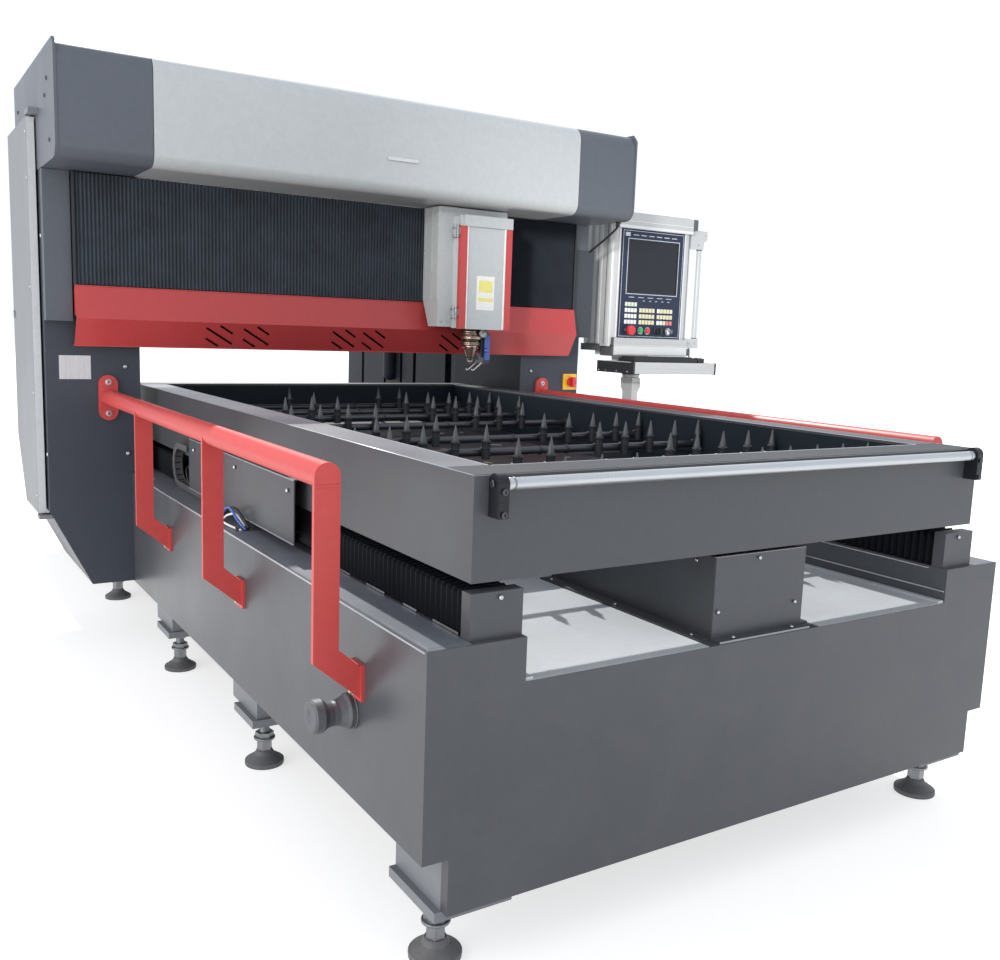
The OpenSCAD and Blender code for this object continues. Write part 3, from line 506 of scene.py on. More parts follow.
# ---------------------------------------------------------------- energy chain: linked
bm = bmesh.new()
path = [(1400 + 25 * k, 639.0) for k in range(16)]
path = [(y, z) for y, z in path if y < 1781]
nb = 8
for k in range(nb + 1):
    a = -math.pi / 2 + math.pi * k / nb
    path.append((1781 + 61 * math.cos(a), 700 + 61 * math.sin(a)))
path += [(1781 - 24 * k, 761.0) for k in range(1, 5)]
for (ya, za), (yb, zb) in zip(path, path[1:]):
    d = Vector((0, yb - ya, zb - za)); L = d.length
    if L < 1: continue
    d.normalize(); nrm = Vector((0, -d.z, d.y))
    for xa, xb, t, e in ((-738, -734.5, 9.6, 0.5), (-715.5, -712, 9.6, 0.5), (-734.5, -715.5, 7.0, 4.0)):
        vs = []
        for x in (xa, xb):
            for q, w in ((e, -t), (L - e, -t), (L - e, t), (e, t)):
                c = Vector((x, ya, za)) + d * q + nrm * w
                vs.append(bm.verts.new(P(c.x, c.y, c.z)))
        for f in ((0, 1, 2, 3), (7, 6, 5, 4), (0, 4, 5, 1), (1, 5, 6, 2), (2, 6, 7, 3), (3, 7, 4, 0)):
            bm.faces.new([vs[i] for i in f])
make("energy_chain_links", bm, "chain", None, blend=("machine", "table", P(-725, 1781, 652), P(-725, 1781, 748)), replaces=("energy_chain",))



# ---------------------------------------------------------------- gantry
bm = bmesh.new()
box(bm, -970, 970, 2100, 2102, 1061, 1150)
make("louvre_liner", bm, "dark", "machine")

bm = bmesh.new()                                  # rolled lips along the red cover
box(bm, -981.5, 981.5, 2063.0, 2067.5, 1246.0, 1250.0)
box(bm, -981.5, 981.5, 2088.5, 2092.0, 1055.5, 1059.0)
make("beam_cover_lips", bm, "red", "machine", bevel=1.2)

bm = bmesh.new()                                  # screws along the ends of the top cover
for sx in (-1, 1):
    for y in (1880, 1990, 2120, 2260, 2400, 2540, 2650):
        for x in (806, 1046):
            button_screw(bm, (sx * x, y, 1929), (0, 0, 1), 5.0, 0)
make("top_cover_screws", bm, "bolt", "machine")

bm = bmesh.new()                                  # bare bright strip on the front of the light cover
box(bm, -17.8, 97.8, 1802.6, 1804.4, 1713.4, 1724.6)
make("cover_bright_strip", bm, "cover_strip", "machine", bevel=0.6)
bm = bmesh.new()                                  # folded joints between the cover sections
for sx in (-1, 1):
    a, b_ = sorted((sx * 789.0, sx * 793.0))
    box(bm, a, b_, 1862, 2692, 1924, 1927.4)
make("top_cover_seams", bm, "dark", "machine")

bm = bmesh.new()                                  # column front: screws
for sx in (-1, 1):
    for x, z in ((819, 989), (815, 697)):
        button_screw(bm, (sx * x, 2129.2, z), (0, -1, 0), 6.4, 0)
make("column_screws", bm, "bolt", "machine")

bm = bmesh.new()                                  # rear of the columns and beam: access plates
for sx in (-1, 1):
    a, b_ = sorted((sx * 800, sx * 1030))
    box(bm, a, b_, 2693.5, 2699, 640, 1090)
    box(bm, a, b_, 2693.5, 2699, 1150, 1560)
for x0, x1 in ((-740, -260), (-240, 240), (260, 740)):
    box(bm, x0, x1, 2439.5, 2444, 1170, 1520)
make("rear_access_plates", bm, "grey", "machine", bevel=1.2)
bm = bmesh.new()
for sx in (-1, 1):
    for z in (655, 865, 1075, 1165, 1355, 1545):
        for x in (812, 1018):
            button_screw(bm, (sx * x, 2699, z), (0, 1, 0), 6.0, 0)
for x in (-728, -272, -228, 228, 272, 728):
    for z in (1182, 1345, 1508):
        button_screw(bm, (x, 2444, z), (0, 1, 0), 6.0, 0)
make("rear_access_screws", bm, "bolt", "machine")

bm = bmesh.new()                                  # column side: small round studs
for sx in (-1, 1):
    for z in (700, 1400):
        lathe(bm, (sx * 1064, 2148, z), (sx, 0, 0), [(0, 7), (1.5, 7), (3, 5), (3, 0)], 18, 0)
make("column_side_studs", bm, "bolt", "machine")
for sx, nm, body in ((-1, "left", "door_left"), (1, "right", "door_right")):
    bm = bmesh.new()                              # lock, screws and a pale strip on each side door; the strip is a painted highlight on the door's front edge
    lathe(bm, (sx * 1097, 2600, 1150), (sx, 0, 0), [(0, 13), (2, 13), (3, 11.5), (3, 7), (1.2, 6.2), (1.2, 0)], 24, 1)
    box(bm, *sorted((sx * 1098.2, sx * 1099.6)), 2598.6, 2601.4, 1144, 1156, 2)
    for z in (560, 900, 1240, 1580, 1720):
        button_screw(bm, (sx * 1094, 2184, z), (sx, 0, 0), 4.5, 1)
    # pale strip down the front edge: painted highlight
    box(bm, *sorted((sx * 1070.6, sx * 1093.4)), 2170.4, 2172.2, 502, 1763, 3)
    make("door_%s_fittings" % nm, bm, ("door", "bolt", "dark", "door_edge"), body)
bm = bmesh.new()                                  # cross-rail stops, bellows end frames and the frames on the head
for x in (-962, 955):
    for z in (1264, 1500):
        box(bm, x, x + 7, 2088, 2114, z - 2, z + 26)
make("cross_rail_stops", bm, "bolt", "machine", bevel=0.8)
bm = bmesh.new()
for x in (-982, 975):
    box(bm, x, x + 7, 2066, 2086, 1250, 1601)
make("bellows_end_frames", bm, "black", "machine", bevel=0.8)
bm = bmesh.new()
for x0 in (259.0, 549.0):
    box(bm, x0, x0 + 4, 2067, 2086, 1250, 1600)
make("bellows_head_frames", bm, "black", "head", bevel=0.8)

# ---------------------------------------------------------------- laser head
bm = bmesh.new()                                  # red edging, bright inner lines and bare label plate
box(bm, 321.4, 349, 1883.0, 1889, 1155.0, 1530, 0)
box(bm, 320.9, 322.6, 1883.0, 1903.6, 1155.0, 1530, 0)
box(bm, 517, 545.6, 1883.0, 1889, 1155.0, 1530, 0)
box(bm, 349, 354, 1882.2, 1889, 1155.0, 1530, 1)
box(bm, 511.5, 517, 1882.2, 1889, 1155.0, 1530, 1)
make("head_door_edging", bm, ("red", "white"), "head_door", bevel=0.8)
bm = bmesh.new()
box(bm, 396, 474, 1886.8, 1888.2, 1226, 1352, 0)
box(bm, 405, 465, 1886.3, 1887.0, 1292, 1336, 1)
box(bm, 402, 468, 1886.3, 1887.0, 1258, 1272, 1)
make("head_label_plate", bm, ("white", "pale_yellow"), "head_door", bevel=0.15)
bm = bmesh.new()
for z in (1204, 1500):
    lathe(bm, (316, 1898, z + 0.6), (0, 0, 1), [(0, 5.2), (0.5, 6.3), (20.4, 6.3), (20.9, 5.2)], 20, 0)
make("head_door_knuckles", bm, "studs", "head_door", bevel=0.4)
bm = bmesh.new()
for z in (1204, 1500):
    for a, b_ in ((z - 12, z - 0.5), (z + 22.5, z + 34)):
        lathe(bm, (316, 1898, a + 0.2), (0, 0, 1), [(0, 5.4), (0.6, 6.4), (b_ - a - 1.0, 6.4), (b_ - a - 0.4, 5.4)], 20, 0)
        box(bm, 313.4, 321.0, 1918, 1945, a, b_, 1)
        button_screw(bm, (313.5, 1931, (a + b_) / 2), (-1, 0, 0), 3.0, 1)
make("head_hinge_leaves", bm, ("studs", "bolt"), "head", bevel=0.4)
bm = bmesh.new()                                  # folded ribs and screws on the head box
for y0, y1 in ((1940.2, 1956), (1990, 1998), (2036, 2053.5)):
    box(bm, 256.6, 260.5, y0, y1, 1258, 1597, 0)
    box(bm, 551.5, 555.4, y0, y1, 1258, 1597, 0)
make("head_box_ribs", bm, "side", "head", bevel=1.0)
bm = bmesh.new()
for z in (1290, 1430, 1570):
    for x, sx in ((256.6, -1), (555.4, 1)):
        button_screw(bm, (x, 1948, z), (sx, 0, 0), 3.6, 0)
        button_screw(bm, (x, 2045, z), (sx, 0, 0), 3.6, 0)
for x in (275, 300):
    for z in (1180, 1582):
        button_screw(bm, (x, 1940, z), (0, -1, 0), 3.6, 0)
make("head_box_screws", bm, "bolt", "head")

bm = bmesh.new()                                  # nozzle: collars, knurled ring, cone and bright tip over the plain CAD body
c = (437, 1990, 1020)
up = (0, 0, 1)
lathe(bm, c, up, [(86.2, 31.4), (88, 33), (91, 33), (93.8, 31.4)], 48, 1)
for k in range(36):                               # knurls
    a = 2 * math.pi * k / 36
    lathe(bm, (437 + 36.3 * math.cos(a), 1990 + 36.3 * math.sin(a), 1020 + 75.5), up, [(0, 1.0), (0.8, 1.6), (6.8, 1.6), (7.6, 1.0)], 6, 1)
lathe(bm, c, up, [(96.3, 38.2), (97.5, 39.2), (101, 39.2), (101.6, 38.4), (104, 38.4), (104.6, 39.2), (107.0, 39.2), (107.9, 38.2)], 48, 2)
lathe(bm, c, up, [(0.2, 4.4), (3.8, 5.4), (5.2, 6.6), (12, 12.2), (12.6, 11.4)], 36, 3)
lathe(bm, c, up, [(24, 15.4), (25, 16.8), (27, 17.3), (28, 16.4)], 36, 1)
lathe(bm, c, up, [(110.3, 34.3), (112, 36), (120, 36), (122, 34.3)], 48, 0)
lathe(bm, c, up, [(126, 34.3), (127, 35.3), (133, 35.3), (134, 34.3)], 48, 1)
make("nozzle_collars", bm, ("copper", "dark_brown", "copper_light", "chrome"), "nozzle")
bm = bmesh.new()
for k in range(4):
    a = math.pi / 4 + math.pi / 2 * k
    lathe(bm, (437 + 29 * math.cos(a), 1990 + 29 * math.sin(a), 1020 + 64), (0, 0, -1), [(0, 3.2), (4, 3.2), (4, 1.8), (2, 1.8), (2, 0)], 12, 0)
make("nozzle_ring_screws", bm, "bolt", "nozzle")

bm = bmesh.new()                                  # round gauge, regulator knob, fittings and bright blow tubes
g = (464, 1945, 1139)
lathe(bm, g, (0, -1, 0), [(-1, 15), (0, 15.8), (2.6, 15.8), (3.4, 14.6), (3.4, 13.2), (2.4, 13.0), (2.4, 0)], 36, 0)
lathe(bm, (464, 1942.7, 1139), (0, -1, 0), [(0, 12.8), (0.3, 12.8), (0.3, 0)], 36, 1)
lathe(bm, (464, 1942.4, 1139), (0, -1, 0), [(0, 2.0), (0.9, 1.8), (0.9, 0)], 12, 2)
box(bm, 463.4, 464.6, 1941.7, 1942.5, 1139, 1149, 2)
make("pressure_gauge", bm, ("chrome", "pale_face", "dark"), "nozzle")
bm = bmesh.new()
for z0, z1 in ((1052, 1060), (1084, 1090), (1112, 1118)):
    box(bm, 486.2, 513.8, 1971.2, 2008.8, z0, z1, 0)
lathe(bm, (498, 1972, 1074), (0, -1, 0), [(0, 8), (1, 9), (7, 9), (9, 7), (9, 0)], 24, 1)
lathe(bm, (513, 1990, 1104), (1, 0, 0), [(0, 6), (4, 6), (4, 4), (9, 4), (9, 0)], 16, 2)
lathe(bm, (513, 1990, 1066), (1, 0, 0), [(0, 5), (3, 5), (3, 3.6), (8, 3.6), (8, 0)], 16, 2)
box(bm, 491, 514.4, 1970.4, 1973, 1037, 1134, 1)
box(bm, 512.6, 514.4, 1972, 2004, 1037, 1134, 1)
for y in (1978, 2020):
    lathe(bm, (490, y, 1026.5), (0, 0, -1), [(-1.5, 4.4), (2.0, 4.4), (3.0, 3.2), (3.0, 0)], 6, 2)
make("regulator_bands", bm, ("black", "blue", "white"), "nozzle", bevel=0.6)
bm = bmesh.new()
for y in (1978, 2020):
    d = Vector((math.sin(math.radians(-129)), 0, math.cos(math.radians(-129))))
    p0 = Vector((488, y, 1030))
    q = [tuple(p0 + d * t) for t in (2, 16, 32, 46, 52)]
    q += [tuple(p0 + d * 55 + Vector((-2.4, 0, 0.6))), tuple(p0 + d * 55 + Vector((-8, 0, 3.6)))]
    tube(bm, q, [2.25] * 7, 14, 0)
make("blow_tubes", bm, "white", "nozzle")

# ---------------------------------------------------------------- operator console
bm = bmesh.new()                                  # light border lines of the overlay and the screen surround
def ring(bm, x0, x1, z0, z1, w, ya, yb, mi):
    box(bm, x0, x1, ya, yb, z0, z0 + w, mi); box(bm, x0, x1, ya, yb, z1 - w, z1, mi)
    box(bm, x0, x0 + w, ya, yb, z0 + w, z1 - w, mi); box(bm, x1 - w, x1, ya, yb, z0 + w, z1 - w, mi)
ring(bm, 1244, 1591, 1147, 1603, 2.0, 2085.2, 2086.2, 0)
ring(bm, 1272, 1568, 1331, 1570, 3.0, 2084.8, 2086.2, 0)
ring(bm, 1276.5, 1563.5, 1335.5, 1565.5, 3.2, 2084.4, 2086.4, 1)
for k in range(6):
    box(bm, 1300 + 44 * k, 1330 + 44 * k, 2085.3, 2086.2, 1583, 1586.5, 0)
for k in range(5):
    box(bm, 1290 + 54 * k, 1322 + 54 * k, 2085.3, 2086.2, 1317, 1319.5, 0)
box(bm, 1256, 1282, 2085.0, 2086.2, 1578, 1594, 0)
for k in range(5):
    box(bm, 1372 + 36 * k, 1382 + 36 * k, 2085.3, 2086.2, 1303, 1306, 0)
make("panel_lines", bm, ("overlay_line", "black"), "console")
bm = bmesh.new()
box(bm, 1279.3, 1560.7, 2086.8, 2088.4, 1338.3, 1562.7)
make("screen_glass_pane", bm, "screen", "console", bevel=0.5)
bm = bmesh.new()                                  # membrane keys
def keys(x0, x1, nx, z0, z1, nz, pick):
    dx, dz = (x1 - x0) / nx, (z1 - z0) / nz
    for j in range(nz):
        for i in range(nx):
            box(bm, x0 + dx * i + 1.6, x0 + dx * (i + 1) - 1.6, 2084.4, 2086.3, z0 + dz * j + 4, z0 + dz * (j + 1) - 4, pick(i, j))
keys(1270, 1340, 4, 1198, 1300, 4, lambda i, j: 1 if j == 3 else 0)
keys(1352, 1443, 5, 1198, 1276, 3, lambda i, j: 2)
keys(1455, 1548, 5, 1198, 1276, 3, lambda i, j: 3 if (j == 0 and i > 2) else (0 if (i == 0 and j == 2) or (j == 0 and i < 2) else 2))
make("membrane_keys", bm, ("key_white", "key_green", "key_cream", "key_pink"), "console", bevel=0.5)
bm = bmesh.new()                                  # bezels round the controls
for (x, r) in ((1295, 17), (1361, 16), (1401, 16), (1462, 15), (1522, 16)):
    ri = {1295: 10.6, 1361: 12.6, 1401: 12.6, 1462: 8.4, 1522: 12.4}[x]
    y0 = {1295: 2080, 1462: 2082}.get(x, 2079)
    lathe(bm, (x, 2086.4, 1174), (0, -1, 0), [(0, r + 1.6), (1.2, r + 1.6), (2086.4 - y0 + 0.2, r + 0.3), (2086.4 - y0 + 0.4, r - 0.8), (2086.4 - y0 + 0.4, ri), (1.0, ri)], 36, 0, smooth=False)
make("control_bezels", bm, "bezel", "console")
bm = bmesh.new()                                  # mushroom head of the emergency stop, rounded over the plain CAD head
lathe(bm, (1295, 2071.2, 1174), (0, -1, 0), [(0, 20.2), (2, 21.0), (7, 21.0), (12, 18.5), (14.6, 12.0), (15.4, 5.0), (15.6, 0)], 40, 0)
make("emergency_stop_head", bm, "redp", "emergency_stop")
for nm, x, mt in (("start", 1361, "green"), ("stop", 1401, "redp")):
    bm = bmesh.new()
    lathe(bm, (x, 2073.2, 1174), (0, -1, 0), [(0, 11.9), (1.4, 11.2), (2.0, 9.6), (1.5, 8.0), (1.0, 0)], 32, 0)
    make(nm + "_button_cap", bm, mt, nm + "_button")
bm = bmesh.new()
lathe(bm, (1522, 2075.2, 1174), (0, -1, 0), [(0, 11.8), (1.0, 11.2), (1.4, 10.0), (1.0, 8.5), (0.8, 3.2)], 32, 0)
make("key_barrel_rim", bm, "chrome", "key_switch")

bm = bmesh.new()                                  # dark rounded end caps of the two front profiles
box(bm, 1639, 1668, 2077, 2122, 1629, 1678)
box(bm, 1206, 1216, 2077, 2122, 1608, 1678)
box(bm, 1206, 1216, 2077, 2166, 1060, 1112)
box(bm, 1206, 1216, 2077, 2092, 1095, 1142)
box(bm, 1639, 1663, 2077, 2122, 1068, 1100)
make("profile_end_caps", bm, "cap_grey", "console", bevel=6.0)
bm = bmesh.new()                                  # dark lower rail along the side
box(bm, 1190.5, 1200, 2150, 2287, 1081, 1111.5)
make("housing_lower_rail", bm, "cap_grey", "console", bevel=2.0)
bm = bmesh.new()                                  # steps and fine lines along the front profiles
box(bm, 1216, 1639, 2077.6, 2079.5, 1640, 1643.5, 0)
box(bm, 1216, 1639, 2076.6, 2079.5, 1612, 1624, 0)
box(bm, 1216, 1639, 2077.4, 2079.5, 1106, 1109.0, 1)
box(bm, 1216, 1639, 2076.8, 2079.5, 1068, 1104, 0)
for x in (1226, 1599):
    box(bm, x, x + 8, 2088.5, 2091.4, 1142, 1609, 1)
make("profile_steps", bm, ("profile", "white"), "console", bevel=0.8)
bm = bmesh.new()                                  # ribs along the side extrusions of the housing
for x, sx in ((1193, -1), (1645, 1)):
    for y0, y1, t, mi in ((2100, 2112, 2.0, 0), (2124, 2128, 1.2, 1), (2158, 2180, 2.2, 0), (2196, 2216, 2.2, 0), (2246, 2262, 2.0, 0)):
        box(bm, *sorted((x - sx * 0.5, x + sx * t)), y0, y1, 1113, 1676, mi)
make("housing_ribs", bm, ("profile", "cap_grey"), "console", bevel=0.8)
bm = bmesh.new()                                  # rear door of the housing with lock and hinges
box(bm, 1226, 1612, 2289, 2293.5, 1120, 1660, 0)
for z in (1180, 1560):
    lathe(bm, (1608, 2294, z - 30), (0, 0, 1), [(0, 4), (0.6, 5), (59, 5), (60, 4)], 16, 1)
lathe(bm, (1250, 2293.5, 1370), (0, 1, 0), [(0, 12), (2, 12), (3, 10), (3, 5), (1.5, 4.4), (1.5, 0)], 24, 1)
make("housing_rear_door", bm, ("console", "bolt"), "console", bevel=1.2)
bm = bmesh.new()                                  # handle bar end plugs and clamp screws
for z in (1147.5, 1547.0):
    lathe(bm, (1710, 2110, z), (0, 0, 1), [(-1.5, 11.6), (-1.0, 13.4), (3.0, 13.4), (3.5, 11.6)], 32, 0)
for x, z in ((1730, 1614), (1690, 1568), (1668, 1125), (1704, 1125)):
    for y, d in ((2095, -1), (2125, 1)):
        bolt(bm, (x, y, z), (0, d, 0), 3.4, 3.2, 1)
box(bm, 1722, 1722.9, 2099, 2121, 1107, 1143, 0)
make("handle_fittings", bm, ("cap_grey", "bolt"), "console", bevel=0.4)
bm = bmesh.new()                                  # tray: light front profile with a groove and a top lip, black ends
box(bm, 1230, 1695, 1946.5, 1951, 989, 1038.5, 0)
box(bm, 1230, 1695, 1945.5, 1951, 1009, 1014, 0)
box(bm, 1230, 1695, 1946.5, 1962, 1036.5, 1039.0, 0)
box(bm, 1221, 1230.5, 1944.5, 1962, 987, 1040, 1)
box(bm, 1694.5, 1703, 1944.5, 1962, 987, 1040, 1)
make("tray_front_profile", bm, ("profile_light", "bplastic"), "console", bevel=1.0)
bm = bmesh.new()
box(bm, 1220.2, 1223, 1964, 2198, 1004, 1010, 0)
box(bm, 1701, 1703.8, 1964, 2198, 1004, 1010, 0)
box(bm, 1220.8, 1226, 1964, 2198, 1036.4, 1039.4, 2)
box(bm, 1698, 1703.2, 1964, 2198, 1036.4, 1039.4, 2)
for y in (1985, 2060, 2135, 2185):
    button_screw(bm, (1222, y, 997), (-1, 0, 0), 3.4, 1)
    button_screw(bm, (1702, y, 997), (1, 0, 0), 3.4, 1)
make("tray_side_beads", bm, ("bplastic", "bolt", "profile_light"), "console", bevel=0.6)

bm = bmesh.new()                                  # keyboard keys
rnd = random.Random(5)
for j in range(6):
    y = 1988 + j * 14.2
    x = 1260.0
    while x < 1600:
        w = 17.5 if j != 0 else (95 if 1340 < x < 1410 else 24)
        if j in (1, 2, 3) and x < 1262: w = 24 + 3 * (3 - j)
        w = min(w, 1603 - x)
        if w > 9:
            v = box(bm, x + 0.9, x + w - 0.9, y + 0.8, y + 12.8, 1059.4, 1063.2)
            for q in v[4:]:
                q.co.x += (0.0011 if q.co.x < P(x + w / 2, 0, 0).x else -0.0011)
                q.co.y += (0.0008 if q.co.y < P(0, y + 7, 0).y else -0.0018)
        x += w
make("keyboard_keys", bm, "keycap", "console", bevel=0.5)
bm = bmesh.new()                                  # mouse shell: a crowned body with a wheel and a parting line
nx, ny = 14, 22
grid = []
for j in range(ny + 1):
    t = j / ny
    row = []
    half = 19.5 * (1 - abs(2 * t - 1) ** 3.2) ** 0.5 + 0.2
    for i in range(nx + 1):
        s = -1 + 2 * i / nx
        h = (1 - abs(s) ** 2.6) ** 0.6 * math.sin(math.pi * min(max(t, 0.02), 0.98)) ** 0.55
        row.append(bm.verts.new(P(1663 + half * s, 1993 + 70 * t, 1042 + 19.5 * h * (0.78 + 0.35 * t))))
    grid.append(row)
for a, b_ in zip(grid, grid[1:]):
    for k in range(nx):
        f = bm.faces.new((a[k], a[k + 1], b_[k + 1], b_[k])); f.smooth = True
edge = [grid[0][i] for i in range(nx + 1)] + [grid[j][nx] for j in range(1, ny + 1)] + [grid[ny][i] for i in range(nx - 1, -1, -1)] + [grid[j][0] for j in range(ny - 1, 0, -1)]
low = [bm.verts.new((v.co.x, v.co.y, P(0, 0, 1038.4).z)) for v in edge]
for k in range(len(edge)):
    k2 = (k + 1) % len(edge)
    f = bm.faces.new((edge[k], edge[k2], low[k2], low[k])); f.smooth = True
bm.faces.new(low)
lathe(bm, (1660.5, 2008, 1056.5), (1, 0, 0), [(0, 5.0), (0.6, 5.6), (4.4, 5.6), (5, 5.0)], 20, 1)
make("mouse_shell", bm, ("keycap", "cap_grey"), "console")

bm = bmesh.new()                                  # post: collar with bolts, a block under it, and a band low on the post
box(bm, 1388, 1436, 2149, 2231, 912, 961, 0)
box(bm, 1391.5, 1432.5, 2153, 2227, 900, 913, 0)
for y in (2170, 2206):
    bolt(bm, (1388, y, 937), (-1, 0, 0), 4.0, 4.0, 1)
    bolt(bm, (1436, y, 937), (1, 0, 0), 4.0, 4.0, 1)
for x in (1400, 1424):
    bolt(bm, (x, 2149, 937), (0, -1, 0), 3.6, 3.6, 1)
box(bm, 1391, 1433, 2154, 2226, 380.5, 394, 0)
make("post_collar", bm, ("post", "bolt"), "machine", bevel=2.5)

# ---------------------------------------------------------------- bed
bm = bmesh.new()                                  # dusty floor skin of the channels beside the screw
for x0, x1 in ((-601, -161.5), (161.5, 601)):
    box(bm, x0, x1, 1.5, 4046, 544.6, 546.0)
box(bm, -160, 160, 604, 4046, 544.6, 546.0)
make("channel_floor_skin", bm, "channel", "machine")
bm = bmesh.new()                                  # ledges: machined seats under the rails, ledge tops in a dusty paint lightened as painted light
for sx in (-1, 1):
    a, b_ = sorted((sx * 712, sx * 797))
    box(bm, a, b_, 2, 4047, 626.6, 627.6, 0)
make("ledge_skin", bm, "ledge", "machine")
bm = bmesh.new()                                  # folded lip along the foot of each channel wall, and the strip under the ledge
for sx in (-1, 1):
    a, b_ = sorted((sx * 584, sx * 602))
    box(bm, a, b_, 3, 4046, 545.5, 551, 0)
    a, b_ = sorted((sx * 599.5, sx * 602.2))
    box(bm, a, b_, 3, 4046, 571, 574, 1)
    box(bm, a, b_, 50, 4000, 620, 623, 1)
make("channel_lips", bm, ("channel", "bolt"), "machine", bevel=0.8)
bm = bmesh.new()                                  # rail fixing screws with sunk heads, each standing a hair proud of the rail top
for sx in (-1, 1):
    for k in range(66):
        y = 80 + 60 * k
        lathe(bm, (sx * 657, y, 655), (0, 0, 1), [(0, 6.2), (0.35, 6.2), (0.35, 4.6), (-2.0, 4.4), (-2.0, 0)], 12, 0)
make("rail_screws", bm, "studs", "machine")

bm = bmesh.new()                                  # rail end caps: screws
for sx in (-1, 1):
    for y, d in ((12, -1), (4038, 1)):
        button_screw(bm, (sx * (652 if d < 0 else 690), y, 700 if d < 0 else 690), (0, d, 0), 4.4 if d < 0 else 6.2, 0)
make("rail_cap_screws", bm, "bolt", "machine")
bm = bmesh.new()
for x, z in ((-11, 708), (105, 601), (-120, 605)):
    button_screw(bm, (x, 25, z), (0, -1, 0), 4.0, 0)
for x in (-85, 87):
    button_screw(bm, (x, 13, 551), (0, 0, 1), 4.4, 0)
for x in (-146, 146):
    for y in (70, 320, 570):
        button_screw(bm, (x, y, 549), (0, 0, 1), 4.6, 0)
for x, d in ((-125, -1), (125, 1)):
    for y in (90, 330, 570):
        button_screw(bm, (x, y, 700), (d, 0, 0), 4.0, 0)
make("screw_cover_screws", bm, "bolt", "machine")
bm = bmesh.new()                                  # screw cover: bright edge fold and foot lip
box(bm, -131.4, 131.4, 27.6, 34.4, 717.8, 719.4, 0)
box(bm, -131.5, 131.5, 2.4, 4.4, 545.2, 549.8, 0)
make("screw_cover_folds", bm, "grey_light", "machine", bevel=0.6)

bm = bmesh.new()                                  # handrail: bracket and flange bolts
for sx in (-1, 1):
    for z in (834, 938):
        bolt(bm, (sx * 875, 2122.2, z), (0, -1, 0), 8.3, 7, 0)
    for y in (245, 940, 1630):
        for z in (472, 512):
            bolt(bm, (sx * 807, y + 32, z), (sx, 0, 0), 7.3, 6.6, 0)
make("handrail_bolts", bm, "bolt", "machine")
bm = bmesh.new()                                  # handrail: weld beads round the posts
for sx in (-1, 1):
    for y in (245, 940, 1630):
        for yy in (y - 1.5, y + 9.5):
            box(bm, *sorted((sx * 851, sx * 899)), yy, yy + 2, 868, 873, 0)
make("handrail_welds", bm, "red_rail", "machine", bevel=0.9)
bm = bmesh.new()
for sx in (-1, 1):
    for y in (245, 940, 1630):
        for z in (472, 512):
            lathe(bm, (sx * 812.6, y + 32, z), (sx, 0, 0), [(-3, 7.3), (0.6, 7.3), (1.6, 6.2), (1.6, 3.4), (0.2, 3.2), (0.2, 0)], 6, 0)
make("handrail_foot_bolts", bm, "brass_fit", "machine")

bm = bmesh.new()                                  # bollard grooves and a recessed face
for sx in (-1, 1):
    o = (sx * 800, 298, 424)
    lathe(bm, o, (sx, 0, 0), [(-0.5, 36), (2.5, 36), (3.5, 34.6)], 40, 0)
    lathe(bm, (sx * 882, 298, 424), (sx, 0, 0), [(-1, 31), (1, 31), (2.2, 28), (2.2, 12), (1.0, 11), (1.0, 0)], 40, 0)
make("bollard_faces", bm, ("bollard", "bolt"), "machine")

bm = bmesh.new()                                  # loading roller ends, bracket screws and the round guide buttons
for sx in (-1, 1):
    for z in (849, 888):
        bolt(bm, (sx * 668, -14.6, z), (0, -1, 0), 4.6, 1.6, 1)
    bolt(bm, (sx * 680.6, 6, 900), (sx, 0, 0), 5.0, 2.0, 1)
    box(bm, *sorted((sx * 657.6, sx * 678.4)), -12.8, -11.6, 868, 870, 0)
make("roller_bracket_details", bm, ("bracket_black", "bolt_dark"), "table", bevel=0.3)
bm = bmesh.new()
lathe(bm, (-670, 3, 899), (1, 0, 0), [(0, 0), (0, 5.4), (0.6, 6.0), (15, 6.0), (15, 9.6), (16.4, 11.2), (24, 11.2), (24.6, 10.9), (1315.4, 10.9), (1316, 11.2), (1323.6, 11.2), (1325, 9.6), (1325, 6.0), (1339.4, 6.0), (1340, 5.4), (1340, 0)], 48, 0)
make("loading_roller_turned", bm, "chrome", "roller", replaces=("loading_roller",))
bm = bmesh.new()
for sx in (-1, 1):
    lathe(bm, (sx * 640, 3, 899), (sx, 0, 0), [(0, 11.3), (0.8, 11.7), (2.2, 11.7), (3.0, 11.3)], 40, 0)
make("roller_end_rings", bm, "studs", "roller")

# ---------------------------------------------------------------- table
bm = bmesh.new()                                  # strips along the rims in three shades of one paint: the left rim lighter as painted light, the front lip and the right rim darker as painted shade, and a painted highlight line along the fold inside each
for sx in (-1, 1):
    box(bm, *sorted((sx * 617, sx * 700)), 130, 2420, 911.6, 912.8, 0 if sx < 0 else 3)
    box(bm, *sorted((sx * 612.4, sx * 616.4)), 128, 2422, 908, 913.2, 1)
box(bm, -700, 700, 29, 122, 911.6, 912.8, 2)
box(bm, -612, 612, 122.4, 127.6, 908, 913.2, 1)
make("table_rim_strips", bm, ("rim", "rim_edge", "rim_front", "rim_right"), "table", bevel=0.5)
bm = bmesh.new()                                  # painted highlight: a bright tube along the outer corner of the left and right rims
for sx in (-1, 1):
    tube(bm, [(sx * 702.4, y, 908.4) for y in (34, 620, 1200, 1800, 2416)], 4.4, 14, 0)
make("rim_corner_highlight", bm, "edge_worn", "table")
bm = bmesh.new()                                  # painted highlight: a bright tube along the outer corner of the ledges of the bed
for sx in (-1, 1):
    tube(bm, [(sx * 795.6, y, 622.4) for y in (8, 700, 1400, 2080)], 4.8, 14, 0)
make("ledge_corner_highlight", bm, "edge_worn", "machine")
bm = bmesh.new()                                  # top of the two ledges outside the bellows: dust, and a lighter paint as painted light
